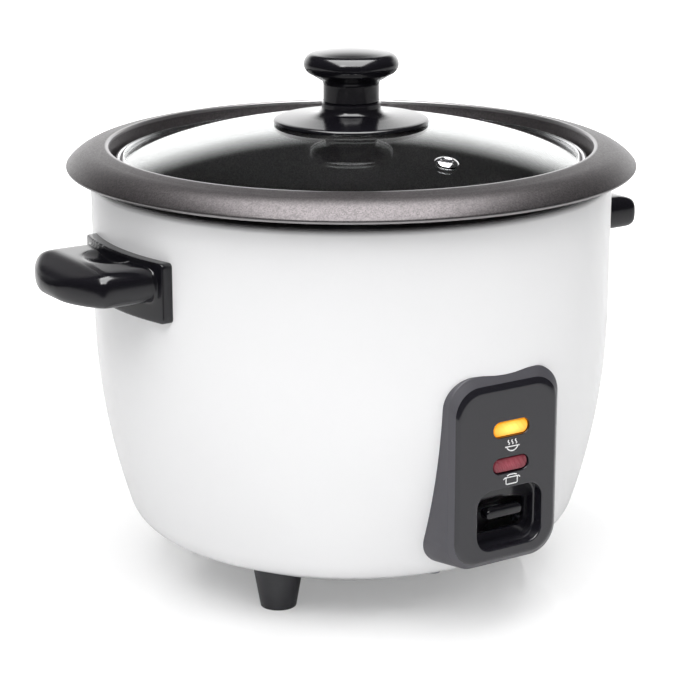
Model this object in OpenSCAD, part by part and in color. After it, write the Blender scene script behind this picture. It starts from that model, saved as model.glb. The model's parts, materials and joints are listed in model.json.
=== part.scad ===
// Rice cooker with a lift-out pot, a domed glass lid and a magnetic cook switch.
// Millimetres. +Z up, origin on the floor at the body's axis, control panel towards -Y,
// handles at +X and -X.

/* [Body] */
// Gap between the liner and the body at its widest
body_gap = 9; // [8:0.5:12]
// Height of the body's top edge above the floor
shell_top_z = 171; // [168:0.5:180]
// Height at which the body is widest
shell_widest_z = 116; // [110:1:125]
// Thickness of the body's sheet steel
shell_wall = 1; // [0.8:0.1:1.4]
// Radius of the long arc that draws the side in below the widest height
side_arc_r = 275; // [255:5:320]
// Radius of the bottom corner
corner_r = 16; // [14:0.5:18]
// Height of the bottom corner's centre above the flat underside
corner_rise = 22.4; // [20:0.2:24]
// Slope of the sloping underside, from level
bottom_slope = 23; // [21:0.5:25]
// Height of the flat underside above the floor
base_z = 14.4; // [13:0.2:15.4]
// Rounding of the body's top edge
top_round = 2; // [1.6:0.1:3]

/* [Liner and base] */
// Thickness of the inner liner
liner_wall = 0.8; // [0.6:0.1:1]
// Gap between the pot and the liner
pot_gap = 2.7; // [2.2:0.1:3]
// Radius of the liner's bottom corner
liner_corner_r = 25; // [22:0.5:27]
// Height of the posts between the lever's bracket and the liner's bottom
riser_h = 6.35; // [6:0.05:8]
// Reach of the liner's flange over the body's top edge
liner_flange_w = 7; // [5:0.5:8]
// Width of the flat underside left bare outside the base plate
base_edge_w = 1.8; // [1.2:0.2:4]
// Width of the seam where the base plate laps the underside
base_lap = 10; // [8:0.5:12]
// Thickness of the base plate
base_plate_t = 1; // [0.8:0.1:1.2]

/* [Feet] */
// Radius of a foot where it meets the floor
foot_floor_r = 7.5; // [6.5:0.25:9]
// Radius of a foot's cone at the underside's height
foot_top_r = 10; // [9.5:0.25:11]

/* [Pot] */
// Outer radius of the pot's wall
pot_r = 97.5; // [95:0.5:98]
// Thickness of the pot's wall
pot_wall = 1.5; // [1.2:0.1:1.8]
// Radius of the pot's bottom corner
pot_corner_r = 16; // [12:0.5:20]
// Width of the step that carries the lid
ledge_w = 5.5; // [5:0.1:6]
// Height of that step above the body's top edge
ledge_rise = 3.8; // [3.6:0.1:5]
// Height of the rim above the step
neck_h = 10.4; // [9.6:0.2:11.4]
// Outward reach of the rim from the pot's mouth
rim_w = 18; // [17.4:0.2:19]
// Radius of the rim's downward curve
rim_arc_r = 18.3; // [17.6:0.1:19.4]
// Radius of the rolled bead at the rim's edge
bead_r = 1.1; // [0.9:0.1:1.3]

/* [Lid] */
// Radius of the glass dome's curve
dome_r = 311; // [290:1:340]
// Height of the glass's upper edge above the lid's step
glass_edge_h = 4.1; // [3.9:0.1:5]
// Thickness of the glass
glass_t = 3; // [2.6:0.1:3.2]
// Gap between the lid's steel ring and the pot's mouth
lid_gap = 2.4; // [1.6:0.1:3]
// Width of the steel ring outside the glass
ring_wall = 1.4; // [1.2:0.1:2]
// Width of the ring's lip over the glass
ring_lip = 3; // [2:0.2:4]
// Distance of the steam vent in from the glass's edge
vent_inset = 29.2; // [18:0.2:38]
// Radius of the steam vent's hole
vent_r = 2; // [1.5:0.1:2.5]
// Radius of the vent eyelet's flange
eyelet_r = 5; // [4.5:0.1:6]

/* [Knob] */
// Radius of the disc under the knob
disc_r = 32.8; // [28:0.2:36]
// Thickness of that disc at its edge
disc_edge_t = 1.9; // [1.6:0.1:2.4]
// Radius of the collar that carries the knob
collar_r = 12.4; // [12.2:0.1:14]
// Height of the collar's seam above the dome's crown
collar_h = 7.4; // [7:0.2:9]
// Radius of the knob's stem
stem_r = 11.8; // [11:0.1:12.2]
// Height of the knob's stem above the seam
stem_h = 8.8; // [8:0.2:10]
// Radius of the knob's head
knob_r = 20; // [18:0.5:23]
// Height of the knob's head
knob_h = 12.9; // [12:0.1:14]
// Radius of the knob's screw
knob_screw_r = 2; // [1.8:0.1:2.5]

/* [Control panel] */
// Stand of the panel's face in front of the body's widest radius
panel_stand = 2.5; // [2:0.1:4]
// Width of the panel's flat face
panel_w = 47.7; // [46:0.5:52]
// Height of the flat face's lower edge above the floor
panel_low_z = 34; // [32:0.5:35]
// Rounding of the flat face's corners
panel_corner_r = 11.5; // [8:0.5:13]
// Width of the sloping edge round the face
panel_bevel = 3; // [2:0.1:3.4]
// Wall of the panel
panel_wall = 2; // [1.6:0.1:2.2]
// Sideways place of the lamps and lever
control_x = 1.8; // [0:0.1:2.5]
// Width of a lamp lens
lens_w = 16.8; // [14:0.2:18]
// Height of a lamp lens
lens_h = 6.2; // [5.4:0.1:7]
// Height of the flat face above the keep-warm lamp's centre
panel_head = 19.7; // [14:0.1:24]
// Height from the cook lamp's centre to the keep-warm lamp's
lamp_pitch = 15.1; // [14.5:0.1:18]
// Height of the cook lamp's centre above the lever's recess
lamp_rise = 9.7; // [9:0.1:12]
// Width of the lever's recess
recess_w = 32; // [30:0.5:33]
// Height of the lever's recess
recess_h = 24.8; // [24:0.2:25.4]
// Height of the recess above the flat face's lower edge
recess_rise = 4.2; // [4:0.1:6]
// Depth of the recess
recess_depth = 8; // [7.6:0.1:8.4]

/* [Handles] */
// Half angle of the plate on the body
plate_half_angle = 17; // [16:0.2:19]
// Thickness of that plate
plate_t = 3.5; // [3:0.1:4.5]
// Height of the plate
plate_h = 26.6; // [24:0.2:30]
// Distance of the handle's centre below the body's top edge
handle_drop = 29.4; // [24:0.2:36]
// Reach of the grip from the body
grip_reach = 34.4; // [30:0.2:38]
// Half width of the grip
grip_half_w = 29; // [27:0.2:31]
// Radius of the grip's front edge in plan
grip_front_r = 44.6; // [40:0.2:52]
// Radius of the grip's front corners in plan
grip_corner_r = 12; // [9:0.5:14]
// Height of the grip's top above the middle of the plate
grip_rise = 8.5; // [7.5:0.1:9.5]
// Thickness of the grip at the plate
grip_h = 13.7; // [13:0.1:15]
// Radius of the grip's tip, seen from the side
grip_nose_r = 4.4; // [4:0.1:5]
// Radius of the finger hollow on top of the grip
hollow_r = 30; // [26:1:36]
// Depth of that hollow
hollow_depth = 5.5; // [4.5:0.1:6]

/* [Heater and sensor] */
// Gap between the heating plate and the liner's bottom corner
heater_gap = 4; // [2:0.5:6]
// Thickness of the heating plate
heater_t = 10.5; // [10:0.1:11.5]
// Height of the posts that carry the heating plate
heater_post_h = 4.7; // [4.6:0.1:5.4]
// Distance from the heating plate's edge to the middle of the element's loop
element_inset = 22; // [19:0.5:26]
// Radius of the element's tube
element_r = 3.4; // [3:0.1:3.5]
// Radius of the sensor's bore in the heating plate
sensor_bore_r = 17.5; // [17:0.1:18.5]
// Radius of the sensor's cap
sensor_r = 16; // [15.6:0.1:16.5]
// Gap left under the pot by the sensor's cap
sensor_gap = 0.3; // [0.2:0.05:0.5]
// Radius of the magnet
magnet_r = 9; // [8:0.2:10]
// Thickness of the magnet
magnet_t = 5.8; // [5:0.1:6]

/* [Lever] */
// Distance from the axis to the lever's pivot
pivot_y = 40; // [38:0.5:41]
// Height of the pivot above the flat underside
pivot_rise = 16.6; // [15:0.1:18]
// Swing of the lever from warm to cook, in degrees
lever_swing = 6; // [5:0.1:6]
// Radius of the pivot pin
pivot_pin_r = 2; // [1.6:0.1:2.2]
// Thickness of the lever's strip
lever_t = 1.6; // [1.2:0.1:1.8]
// Width of the lever's strip
lever_w = 16; // [14:0.5:17]
// Width of the lever's narrow end in the panel
lever_end_w = 10; // [8:0.5:11]
// Height of the finger tab above the middle of its recess
tab_rise = 0.9; // [0:0.1:1.5]
// Width of the finger tab
tab_w = 17.7; // [15:0.2:20]
// Thickness of the finger tab
tab_t = 4; // [3.6:0.1:4.4]

/* [Power inlet] */
// Height of the inlet's centre above the flat underside
inlet_rise = 20.6; // [20:0.1:24]
// Width of the inlet's flange beside its screws
inlet_edge_w = 3.85; // [3:0.05:6]
// Height of the inlet's flange
inlet_h = 27; // [26:0.5:28]
// Width of the plug's pocket
socket_w = 24; // [23.6:0.1:24.6]
// Height of the plug's pocket
socket_h = 16.4; // [16:0.1:16.8]
// Depth of the plug's pocket
socket_depth = 15; // [14:0.2:15.4]

/* [Fits] */
// Radial clearance of a running fit
running = 0.06; // [0.03:0.01:0.1]
// Gap between pieces that move past each other
gap = 0.35; // [0.3:0.01:0.4]
// Radius of the small screws
screw_r = 1.8; // [1.5:0.1:2]

/* [Hidden] */
$fn = 96;

eps = 0.01;
big = 400;

// Radii from the pot outwards
liner_r = pot_r + pot_gap + liner_wall;
shell_r = liner_r + body_gap;
mouth_r = pot_r + ledge_w - pot_wall + 0.5;
rim_r = mouth_r + rim_w;
ring_r = mouth_r - lid_gap;
glass_r = ring_r - ring_wall;
vent_ring_r = glass_r - vent_inset;
heater_r = liner_r - liner_corner_r - heater_gap;
element_loop_r = heater_r - element_inset;

// Heights from the underside up to the pot's bottom
pivot_z = base_z + pivot_rise;
bracket_t = 1;
lever_tail = 3;
lever_lift = (pivot_y + lever_tail) * sin(lever_swing);
magnet_travel = pivot_y * sin(lever_swing);
bracket_top_z = pivot_z + lever_t / 2 + lever_lift + gap + bracket_t;
liner_bottom_z = bracket_top_z + riser_h;
liner_floor_z = liner_bottom_z + liner_wall;
heater_z = liner_floor_z + heater_post_h;
pot_z = heater_z + heater_t;
inlet_z = base_z + inlet_rise;

// Heights from the body's top edge up to the knob
handle_z = shell_top_z - handle_drop;
ledge_z = shell_top_z + ledge_rise;
rim_top_z = ledge_z + neck_h;
crown_z = ledge_z + glass_edge_h + dome_r - sqrt(dome_r * dome_r - glass_r * glass_r);
seam_z = crown_z + collar_h;
head_z = seam_z + stem_h;

// Places on the control panel
panel_y = -(shell_r + panel_stand);
recess_z = panel_low_z + recess_rise + recess_h / 2;
cook_z = recess_z + recess_h / 2 + lamp_rise;
warm_z = cook_z + lamp_pitch;
panel_high_z = warm_z + panel_head;
tab_z = recess_z + tab_rise;

// Radius of a small screw's head
head_r = 2 * screw_r;

// Side view of the body, with t taken off all round
side_c = [shell_r - side_arc_r, shell_widest_z];
side_sweep = asin((shell_widest_z - base_z - corner_rise) / (side_arc_r - corner_r));
corner_c = side_c + (side_arc_r - corner_r) * [cos(side_sweep), -sin(side_sweep)];
corner_end = bottom_slope - 90;
function slope_top(t) = corner_c + (corner_r - t) * [cos(corner_end), sin(corner_end)];
function base_edge_r(t) = slope_top(t)[0] - (slope_top(t)[1] - base_z - t) / tan(bottom_slope);
base_lap_r = base_edge_r(0) - base_edge_w;
base_hole_r = base_lap_r - base_lap;
function shell_at(z) = z > shell_widest_z ? shell_r
    : side_c[0] + sqrt(side_arc_r * side_arc_r - (shell_widest_z - z) * (shell_widest_z - z));
function shell_outline(t) = concat(
    [[0, base_z + t], [base_edge_r(t), base_z + t]],
    arc(corner_c, corner_r - t, corner_end, -side_sweep, 6),
    rest(arc(side_c, side_arc_r - t, -side_sweep, 0, 8)),
    arc([shell_r - top_round, shell_top_z - top_round], top_round - t, 0, 90, 4),
    [[0, shell_top_z - t]]);

// Points along an arc about c, and the same points without the first
function arc(c, r, a0, a1, n) =
    [for (i = [0:n]) let (a = a0 + (a1 - a0) * i / n) c + r * [cos(a), sin(a)]];
function rest(points) = [for (i = [1:len(points) - 1]) points[i]];

// Height of the dome's upper face at radius r, with t taken off
function dome_z(r, t = 0) = crown_z - dome_r + sqrt((dome_r - t) * (dome_r - t) - r * r);

module revolve(points) { rotate_extrude() polygon(points); }

module shell_solid(t = 0) { revolve(shell_outline(t)); }

// A flat shape w by h with corners of radius r
module round_rect(w, h, r) {
    square([w - 2 * r, h], center = true);
    square([w, h - 2 * r], center = true);
    for (x = [-1, 1], y = [-1, 1]) translate([x * (w / 2 - r), y * (h / 2 - r)]) circle(r);
}

// The shape that follows, stood up to face -Y with its front at y and t deep
module facing(x, y, z, t) {
    translate([x, y, z]) rotate([90, 0, 0]) translate([0, 0, -t]) linear_extrude(t) children();
}

// A pan-head screw: shank up from the origin, head below it
module screw(length, r = screw_r) {
    cylinder(h = length, r = r);
    difference() {
        translate([0, 0, -1.1 * r]) cylinder(h = 1.1 * r, r1 = 1.6 * r, r2 = 2 * r);
        for (a = [0, 90]) rotate(a) translate([-r, -0.2 * r, -1.1 * r - eps]) cube([2 * r, 0.4 * r, 0.6 * r]);
    }
}

// A round bar from p to q
module bar(p, q, r) {
    d = q - p;
    translate(p) rotate([0, acos(d[2] / norm(d)), atan2(d[1], d[0])]) cylinder(h = norm(d), r = r);
}

// A wire through a list of points, as one tube mitred at its bends
function unit(v) = v / norm(v);
function heading(points, i) = i == 0 ? unit(points[1] - points[0])
    : i == len(points) - 1 ? unit(points[i] - points[i - 1])
    : unit(unit(points[i] - points[i - 1]) + unit(points[i + 1] - points[i]));

module wire(points, r) {
    sides = 8;
    last = len(points) - 1;
    across = unit(cross(points[last] - points[0], [0.31, 0.2, 0.93]));
    rings = [for (i = [0:last])
        let (d = heading(points, i), u = unit(across - (across * d) * d), v = cross(d, u))
        for (j = [0:sides - 1]) points[i] + r * (cos(360 * j / sides) * u + sin(360 * j / sides) * v)];
    walls = [for (i = [0:last - 1], j = [0:sides - 1]) let (k = (j + 1) % sides)
        [i * sides + j, i * sides + k, (i + 1) * sides + k, (i + 1) * sides + j]];
    polyhedron(rings, concat([[for (j = [0:sides - 1]) sides - 1 - j]], walls,
        [[for (j = [0:sides - 1]) last * sides + j]]), convexity = 8);
}

// A strip of metal w wide across X, bent through a list of [y, z] points
function aside(d) = [-d[1], d[0]];
function strip_edge(points, t) = [for (i = [0:len(points) - 1])
    let (j = min(i, len(points) - 2), d = heading(points, i), along = unit(points[j + 1] - points[j]))
    points[i] + aside(d) * t / (aside(d) * aside(along))];
function reverse(points) = [for (i = [len(points) - 1:-1:0]) points[i]];

module strip(points, w) {
    rotate([90, 0, 90]) linear_extrude(w, center = true)
        polygon(concat(strip_edge(points, -lever_t / 2), reverse(strip_edge(points, lever_t / 2))));
}

// A coil spring about Z from z0 to z1
module coil(coil_r, wire_r, z0, z1, turns) {
    sides = 6;
    steps = 14 * turns;
    low = z0 + wire_r;
    rise = z1 - z0 - 2 * wire_r;
    points = [for (i = [0:steps], j = [0:sides - 1])
        let (a = 360 * turns * i / steps, b = 360 * j / sides, r = coil_r + wire_r * cos(b))
        [r * cos(a), r * sin(a), low + rise * i / steps + wire_r * sin(b)]];
    walls = [for (i = [0:steps - 1], j = [0:sides - 1]) let (k = (j + 1) % sides)
        [i * sides + j, (i + 1) * sides + j, (i + 1) * sides + k, i * sides + k]];
    polyhedron(points, concat([[for (j = [0:sides - 1]) j]], walls,
        [[for (j = [0:sides - 1]) steps * sides + sides - 1 - j]]), convexity = 8);
}

// ---------------------------------------------------------------- body

module lamp_window() {
    translate([control_x - lamp_box_w / 2 - gap, panel_y, lamp_low_z - gap])
        cube([lamp_box_w + 2 * gap, 30, lamp_high_z - lamp_low_z + 2 * gap]);
}

module lever_window() {
    translate([-lever_end_w / 2 - 3, panel_y, panel_low_z + 1])
        cube([lever_end_w + 6, 30, tab_z + 4 - panel_low_z]);
}

module outer_shell() color("white") difference() {
    shell_solid();
    shell_solid(shell_wall);
    cylinder(h = base_z + 2 * shell_wall, r = base_hole_r);
    translate([0, 0, shell_top_z - 2 * shell_wall]) cylinder(h = 4 * shell_wall, r = liner_r + gap);
    lamp_window();
    lever_window();
    inlet_body_space(gap);
    at_base_screws() screw_hole();
    at_foot_screws() screw_hole();
    at_handle_screws() rotate([0, 90, 0]) translate([0, 0, -10]) cylinder(h = 20, r = screw_r);
    at_panel_screws() rotate([90, 0, 0]) translate([0, 0, -10]) cylinder(h = 20, r = screw_r);
    at_inlet_screws() rotate([-90, 0, 0]) translate([0, 0, -10]) cylinder(h = 20, r = screw_r);
}

module screw_hole() { translate([0, 0, -10]) cylinder(h = 20, r = screw_r); }

liner_corner_c = [liner_r - liner_corner_r, liner_bottom_z + liner_corner_r];

module inner_liner() color("silver") difference() {
    revolve(concat(
        [[0, liner_bottom_z]],
        arc(liner_corner_c, liner_corner_r, -90, 0, 8),
        [[liner_r, shell_top_z], [liner_r + liner_flange_w, shell_top_z],
         [liner_r + liner_flange_w, shell_top_z + liner_wall],
         [liner_r - liner_wall, shell_top_z + liner_wall]],
        arc(liner_corner_c, liner_corner_r - liner_wall, 0, -90, 8),
        [[0, liner_floor_z]]));
    translate([0, 0, liner_bottom_z - 1]) cylinder(h = 3, r = sensor_bore_r + 1.5);
    at_heater_screws() screw_hole();
    at_bracket_screws() screw_hole();
    at_element_ends() translate([0, 0, -20]) cylinder(h = 20, r = bushing_r);
}

module base_disc() { translate([0, 0, base_z - base_plate_t]) cylinder(h = base_plate_t, r = base_lap_r); }

// Ventilation slots round the middle of the base plate
slot_r = 22;
slot_l = 16;
slot_w = 3;

module base_plate() color("silver") difference() {
    base_disc();
    at_base_screws() screw_hole();
    at_foot_screws() screw_hole();
    for (a = [0:30:330]) rotate(a) translate([0, 0, base_z - 2 * base_plate_t])
        linear_extrude(4 * base_plate_t) {
            translate([slot_r, -slot_w / 2]) square([slot_l, slot_w]);
            for (x = [slot_r, slot_r + slot_l]) translate([x, 0]) circle(slot_w / 2, $fn = 24);
        }
}

// Screws that hold the base plate, between the feet
module at_base_screws() {
    for (a = [30:120:270])
        rotate(a) translate([base_hole_r + base_lap / 2, 0, base_z - base_plate_t]) children();
}

module base_screws() color("gray") at_base_screws() screw(base_plate_t + shell_wall + 4);

// Feet at 60 degrees either side of the front, and one behind
foot_angles = [-60, 60, 180];
foot_ring_r = base_lap_r;
foot_screw_r = base_lap_r - 2.5;
foot_sink = 6;

module at_foot_screws() {
    for (a = foot_angles) rotate(a) translate([0, -foot_screw_r, foot_sink]) children();
}

module foot(i) color("dimgray") difference() {
    rotate(foot_angles[i]) intersection() {
        translate([0, -foot_ring_r, 0])
            cylinder(h = 1.5 * base_z, r1 = foot_floor_r,
                r2 = foot_floor_r + 1.5 * (foot_top_r - foot_floor_r));
        translate([-big / 2, foot_floor_r - foot_ring_r - big, -1]) cube([big, big, big]);
    }
    shell_solid();
    base_disc();
    rotate(foot_angles[i]) translate([0, -foot_screw_r, -1]) {
        cylinder(h = big, r = screw_r);
        cylinder(h = foot_sink + 1, r = head_r + 0.2);
    }
}

module foot_screws() color("gray") at_foot_screws() {
    screw(base_z - foot_sink + 5);
    translate([0, 0, base_z + shell_wall - foot_sink]) cylinder(h = 2.4, r = 1.7 * screw_r, $fn = 6);
}

// ---------------------------------------------------------------- heater and sensor

heater_screw_ring = heater_r - 10;
element_end_angle = 15;
element_z = heater_z + 1;
bushing_r = 5;

module at_heater_screws() {
    for (a = [30, 150, 270]) rotate(a) translate([heater_screw_ring, 0, liner_bottom_z]) children();
}

module at_element_ends() {
    for (s = [-1, 1]) rotate(90 + s * element_end_angle) translate([element_loop_r, 0, element_z]) children();
}

module heating_plate() color("silver") difference() {
    union() {
        revolve([[0, heater_z], [heater_r, heater_z], [heater_r, pot_z - 1.5], [heater_r - 1.5, pot_z],
            [0, pot_z]]);
        at_heater_screws() translate([0, 0, liner_wall]) cylinder(h = heater_post_h + eps, r = 5);
    }
    translate([0, 0, heater_z - 1]) cylinder(h = heater_t + 2, r = sensor_bore_r);
    at_heater_screws() cylinder(h = heater_post_h + 6.4, r = screw_r);
    translate([0, 0, element_z]) rotate_extrude()
        translate([element_loop_r, 0]) circle(element_r + 0.1, $fn = 48);
}

module heating_element() color("slategray") {
    translate([0, 0, element_z]) rotate(90 + element_end_angle)
        rotate_extrude(angle = 360 - 2 * element_end_angle)
            translate([element_loop_r, 0]) circle(element_r, $fn = 48);
    at_element_ends() translate([0, 0, -15]) cylinder(h = 15, r = 1.6);
}

// Ceramic bushes that take the element's pins through the liner
module element_bushings() color("ivory") at_element_ends() difference() {
    top = liner_bottom_z - element_z;
    union() {
        translate([0, 0, top]) cylinder(h = element_z - element_r - 0.2 - liner_bottom_z, r = bushing_r);
        translate([0, 0, top - 2]) cylinder(h = 2, r = bushing_r + 1.5);
    }
    translate([0, 0, top - 3]) cylinder(h = 20, r = 1.7);
}

module heater_screws() color("gray") at_heater_screws() screw(heater_post_h + 6);

cap_wall = 1;
cap_top_z = pot_z - sensor_gap;
ferrite_t = 5;
ferrite_z = cap_top_z - cap_wall - ferrite_t;
magnet_z = ferrite_z - gap - magnet_travel - magnet_t;
spring_wire_r = 0.45;

module sensor_cap() color("silver") difference() {
    translate([0, 0, bracket_top_z + 3]) cylinder(h = cap_top_z - bracket_top_z - 3, r = sensor_r);
    translate([0, 0, bracket_top_z])
        cylinder(h = cap_top_z - bracket_top_z - cap_wall, r = sensor_r - cap_wall);
}

module ferrite_disc() color("dimgray")
    translate([0, 0, ferrite_z]) cylinder(h = ferrite_t, r = sensor_r - cap_wall - 0.1);

module sensor_spring() color("lightgray")
    coil(sensor_r - cap_wall - 2.2, spring_wire_r, bracket_top_z + 0.1, ferrite_z - 0.1, 5);

module magnet() color("dimgray") translate([0, 0, magnet_z]) difference() {
    cylinder(h = magnet_t, r = magnet_r);
    translate([0, 0, -1]) cylinder(h = magnet_t, r = rod_r);
}

rod_r = 1.6;
rod_low_z = pivot_z + lever_t / 2 + gap;

module magnet_rod() color("goldenrod") {
    translate([0, 0, rod_low_z]) cylinder(h = magnet_z + magnet_t - 1 - rod_low_z, r = rod_r);
    translate([0, 0, magnet_z - 1.2]) cylinder(h = 1.2, r = 2.5 * rod_r);
}

module release_spring() color("lightgray")
    coil(0.5 * magnet_r, 0.3, magnet_z + magnet_t + 0.1, ferrite_z - 0.1, 3);

// ---------------------------------------------------------------- lever and switch

bracket_half_w = sensor_r + 5;
bracket_tab_w = 10;
ear_x = lever_w / 2 + 4;
bracket_front_y = -(pivot_y + 8);
bracket_rear_y = 18;
riser_ys = [-pivot_y - 6, -9];
riser_w = 12;
switch_y0 = -(pivot_y + 26);
switch_l = 20;
switch_w = 7;
switch_h = 9;
plunger_y = -(pivot_y + 20);
plunger_r = 1.2;
plunger_top_z = pivot_z - lever_t / 2 - gap;
switch_z = plunger_top_z - 2.8 - switch_h;
plunger_x = ear_x - switch_w + 1.6;

tab_x = bracket_half_w + bracket_tab_w / 2;

module at_bracket_screws() {
    for (x = [-1, 1], y = riser_ys)
        translate([x * (tab_x + 0.5), y + riser_w / 2, liner_bottom_z - bracket_t]) children();
}

module lever_bracket() color("lightsteelblue") difference() {
    union() {
        translate([-bracket_half_w, bracket_front_y, bracket_top_z - bracket_t])
            cube([2 * bracket_half_w, bracket_rear_y - bracket_front_y, bracket_t]);
        for (s = [-1, 1], y = riser_ys) {
            translate([s * (bracket_half_w - bracket_t / 2) - bracket_t / 2, y, bracket_top_z - bracket_t])
                cube([bracket_t, riser_w, liner_bottom_z - bracket_top_z + bracket_t]);
            translate([s * tab_x - bracket_tab_w / 2, y, liner_bottom_z - bracket_t])
                cube([bracket_tab_w, riser_w, bracket_t]);
        }
        // Ears that carry the pivot pin; the right one reaches forward to the switch
        for (s = [-1, 1])
            translate([s * (ear_x + bracket_t / 2) - bracket_t / 2, bracket_front_y, pivot_z - 7])
                cube([bracket_t, 18, bracket_top_z - pivot_z + 7]);
        translate([ear_x, switch_y0, switch_z]) cube([bracket_t, switch_l, bracket_top_z - 4 - switch_z]);
    }
    translate([0, 0, bracket_top_z - 2]) cylinder(h = 4, r = rod_r + running);
    translate([-big / 2, -pivot_y, pivot_z]) rotate([0, 90, 0]) cylinder(h = big, r = pivot_pin_r);
    at_bracket_screws() screw_hole();
    at_switch_screws() rotate([0, -90, 0]) screw_hole();
}

module bracket_screws() color("gray") at_bracket_screws() screw(4);

pin_half_l = ear_x + bracket_t + 3;

module lever_pivot_pin() color("silver") translate([-pin_half_l, -pivot_y, pivot_z]) rotate([0, 90, 0])
    cylinder(h = 2 * pin_half_l, r = pivot_pin_r);

module pivot_clips() color("gray") for (s = [-1, 1])
    translate([s * (ear_x + bracket_t + 0.6) - 0.4, -pivot_y, pivot_z]) rotate([0, 90, 0]) difference() {
        cylinder(h = 0.8, r = 2 * pivot_pin_r);
        translate([0, 0, -1]) cylinder(h = 3, r = pivot_pin_r);
    }

// The strip runs level under the liner, then climbs outside its corner to the finger tab
lever_points = [[lever_tail, pivot_z], [17 - liner_r, pivot_z], [6 - liner_r, pivot_z + 13],
    [1 - liner_r, tab_z - 0.5], [panel_y + 6, tab_z]];
barrel_r = pivot_pin_r + 2;

module lever_arm() color("silver") difference() {
    union() {
        strip([lever_points[0], lever_points[1]], lever_w);
        strip(lever_points, lever_end_w);
        translate([-lever_w / 2, -pivot_y, pivot_z]) rotate([0, 90, 0]) cylinder(h = lever_w, r = barrel_r);
    }
    translate([-lever_w, -pivot_y, pivot_z]) rotate([0, 90, 0])
        cylinder(h = 2 * lever_w, r = pivot_pin_r + running);
}

tab_front_y = panel_y + 3.4;
tab_depth = panel_y + recess_depth - gap - tab_front_y;

module lever_knob() color("dimgray") difference() {
    facing(control_x, tab_front_y, tab_z, tab_depth) round_rect(tab_w, tab_t, 1.4, $fn = 24);
    strip([for (i = [3:4]) lever_points[i]], lever_end_w);
}

module microswitch() color("darkslategray") difference() {
    translate([ear_x - switch_w, switch_y0, switch_z]) cube([switch_w, switch_l, switch_h]);
    translate([plunger_x, plunger_y, switch_z + 4]) cylinder(h = switch_h, r = plunger_r + running);
    at_switch_screws() rotate([0, -90, 0]) screw_hole();
}

module switch_plunger() color("firebrick") translate([plunger_x, plunger_y, switch_z + 6.8])
    cylinder(h = plunger_top_z - switch_z - 6.8, r = plunger_r);

module switch_terminals() color("goldenrod") for (z = [2, 6])
    translate([ear_x - switch_w / 2 - 1.6, switch_y0 + switch_l, switch_z + z]) cube([3.2, 6, 0.8]);

module at_switch_screws() {
    for (y = [3, 17]) translate([ear_x + bracket_t, switch_y0 + y, switch_z + 3]) children();
}

module switch_screws() color("gray") at_switch_screws() rotate([0, -90, 0]) screw(bracket_t + 5);

// ---------------------------------------------------------------- electrics under the liner

thermostat_r = 10;
thermostat_at = [bracket_half_w + bracket_tab_w + thermostat_r + 2, 10];
thermostat_l = 15;

module keep_warm_thermostat() color("ivory") translate([thermostat_at[0], thermostat_at[1], liner_bottom_z]) {
    translate([0, 0, -2]) cylinder(h = 2, r = thermostat_r);
    translate([0, 0, -9]) cylinder(h = 7 + eps, r = 0.75 * thermostat_r);
    for (s = [-1, 1]) translate([s * 4 - 1.6, -0.4, -thermostat_l]) cube([3.2, 0.8, 6 + eps]);
}

fuse_r = 2;
fuse_x = -(bracket_half_w + bracket_tab_w + 13);
fuse_y = -4;
fuse_l = 14;
fuse_lead = 4;
fuse_z = liner_bottom_z - fuse_r;

module thermal_fuse() color("khaki") {
    translate([fuse_x, fuse_y, fuse_z]) rotate([-90, 0, 0]) cylinder(h = fuse_l, r = fuse_r);
    bar([fuse_x, fuse_y - fuse_lead, fuse_z], [fuse_x, fuse_y + fuse_l + fuse_lead, fuse_z], 0.5, $fn = 24);
}

// A strap over the fuse with a tab beside it
module thermal_fuse_clip() color("silver") difference() {
    translate([fuse_x - fuse_r - 7, fuse_y + 3, liner_bottom_z - 2 * fuse_r - 1])
        cube([2 * fuse_r + 8, 8, 2 * fuse_r + 1]);
    translate([fuse_x, fuse_y, fuse_z]) rotate([-90, 0, 0]) cylinder(h = 2 * fuse_l, r = fuse_r);
    translate([fuse_x - fuse_r, fuse_y, fuse_z]) cube([2 * fuse_r, 2 * fuse_l, fuse_r + 1]);
    translate([fuse_x - fuse_r - 8, fuse_y, liner_bottom_z - 2 * fuse_r - 2]) cube([7, 2 * fuse_l, 2 * fuse_r + 1]);
}

// ---------------------------------------------------------------- control panel

panel_mid_z = (panel_low_z + panel_high_z) / 2;
panel_h = panel_high_z - panel_low_z;
panel_flare_depth = 24;
panel_flare = 2.4;
lens_wall = 1;
lens_back_y = panel_y + panel_wall + lens_wall;
lamp_r = 2;
lamp_y = lens_back_y + lamp_r + gap;
lamp_box_w = lens_w + 11.2;
lamp_low_z = cook_z - 7;
lamp_high_z = warm_z + 7;

// The panel's body, with t taken off its face and sides
module panel_solid(t) hull() {
    facing(0, panel_y + t, panel_mid_z, 0.5) round_rect(panel_w - t, panel_h - t, panel_corner_r, $fn = 32);
    facing(0, panel_y + t + panel_bevel, panel_mid_z, 0.5)
        round_rect(panel_w + 2 * panel_bevel - 2 * t, panel_h + 2 * panel_bevel - 2 * t,
            panel_corner_r + panel_bevel - t, $fn = 32);
    facing(0, panel_y + panel_flare_depth, panel_mid_z, 0.5)
        round_rect(panel_w + 2 * (panel_bevel + panel_flare) - 2 * t,
            panel_h + 2 * (panel_bevel + panel_flare) - 2 * t, panel_corner_r + panel_bevel, $fn = 32);
}

panel_boss_r = 3.4;
panel_screw_x = panel_w / 2 - panel_boss_r;
panel_screw_zs = [panel_low_z + 7, panel_high_z - 10];

module at_panel_screws() {
    for (x = [-1, 1], z = panel_screw_zs) translate([x * panel_screw_x, panel_screw_y(z), z]) children();
}

// Where the inside of the body's wall lies behind a panel screw
function panel_screw_y(z) = let (wall_r = shell_at(z - head_r) - shell_wall)
    0.1 - sqrt(pow(wall_r, 2) - pow(panel_screw_x + head_r, 2));

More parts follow.
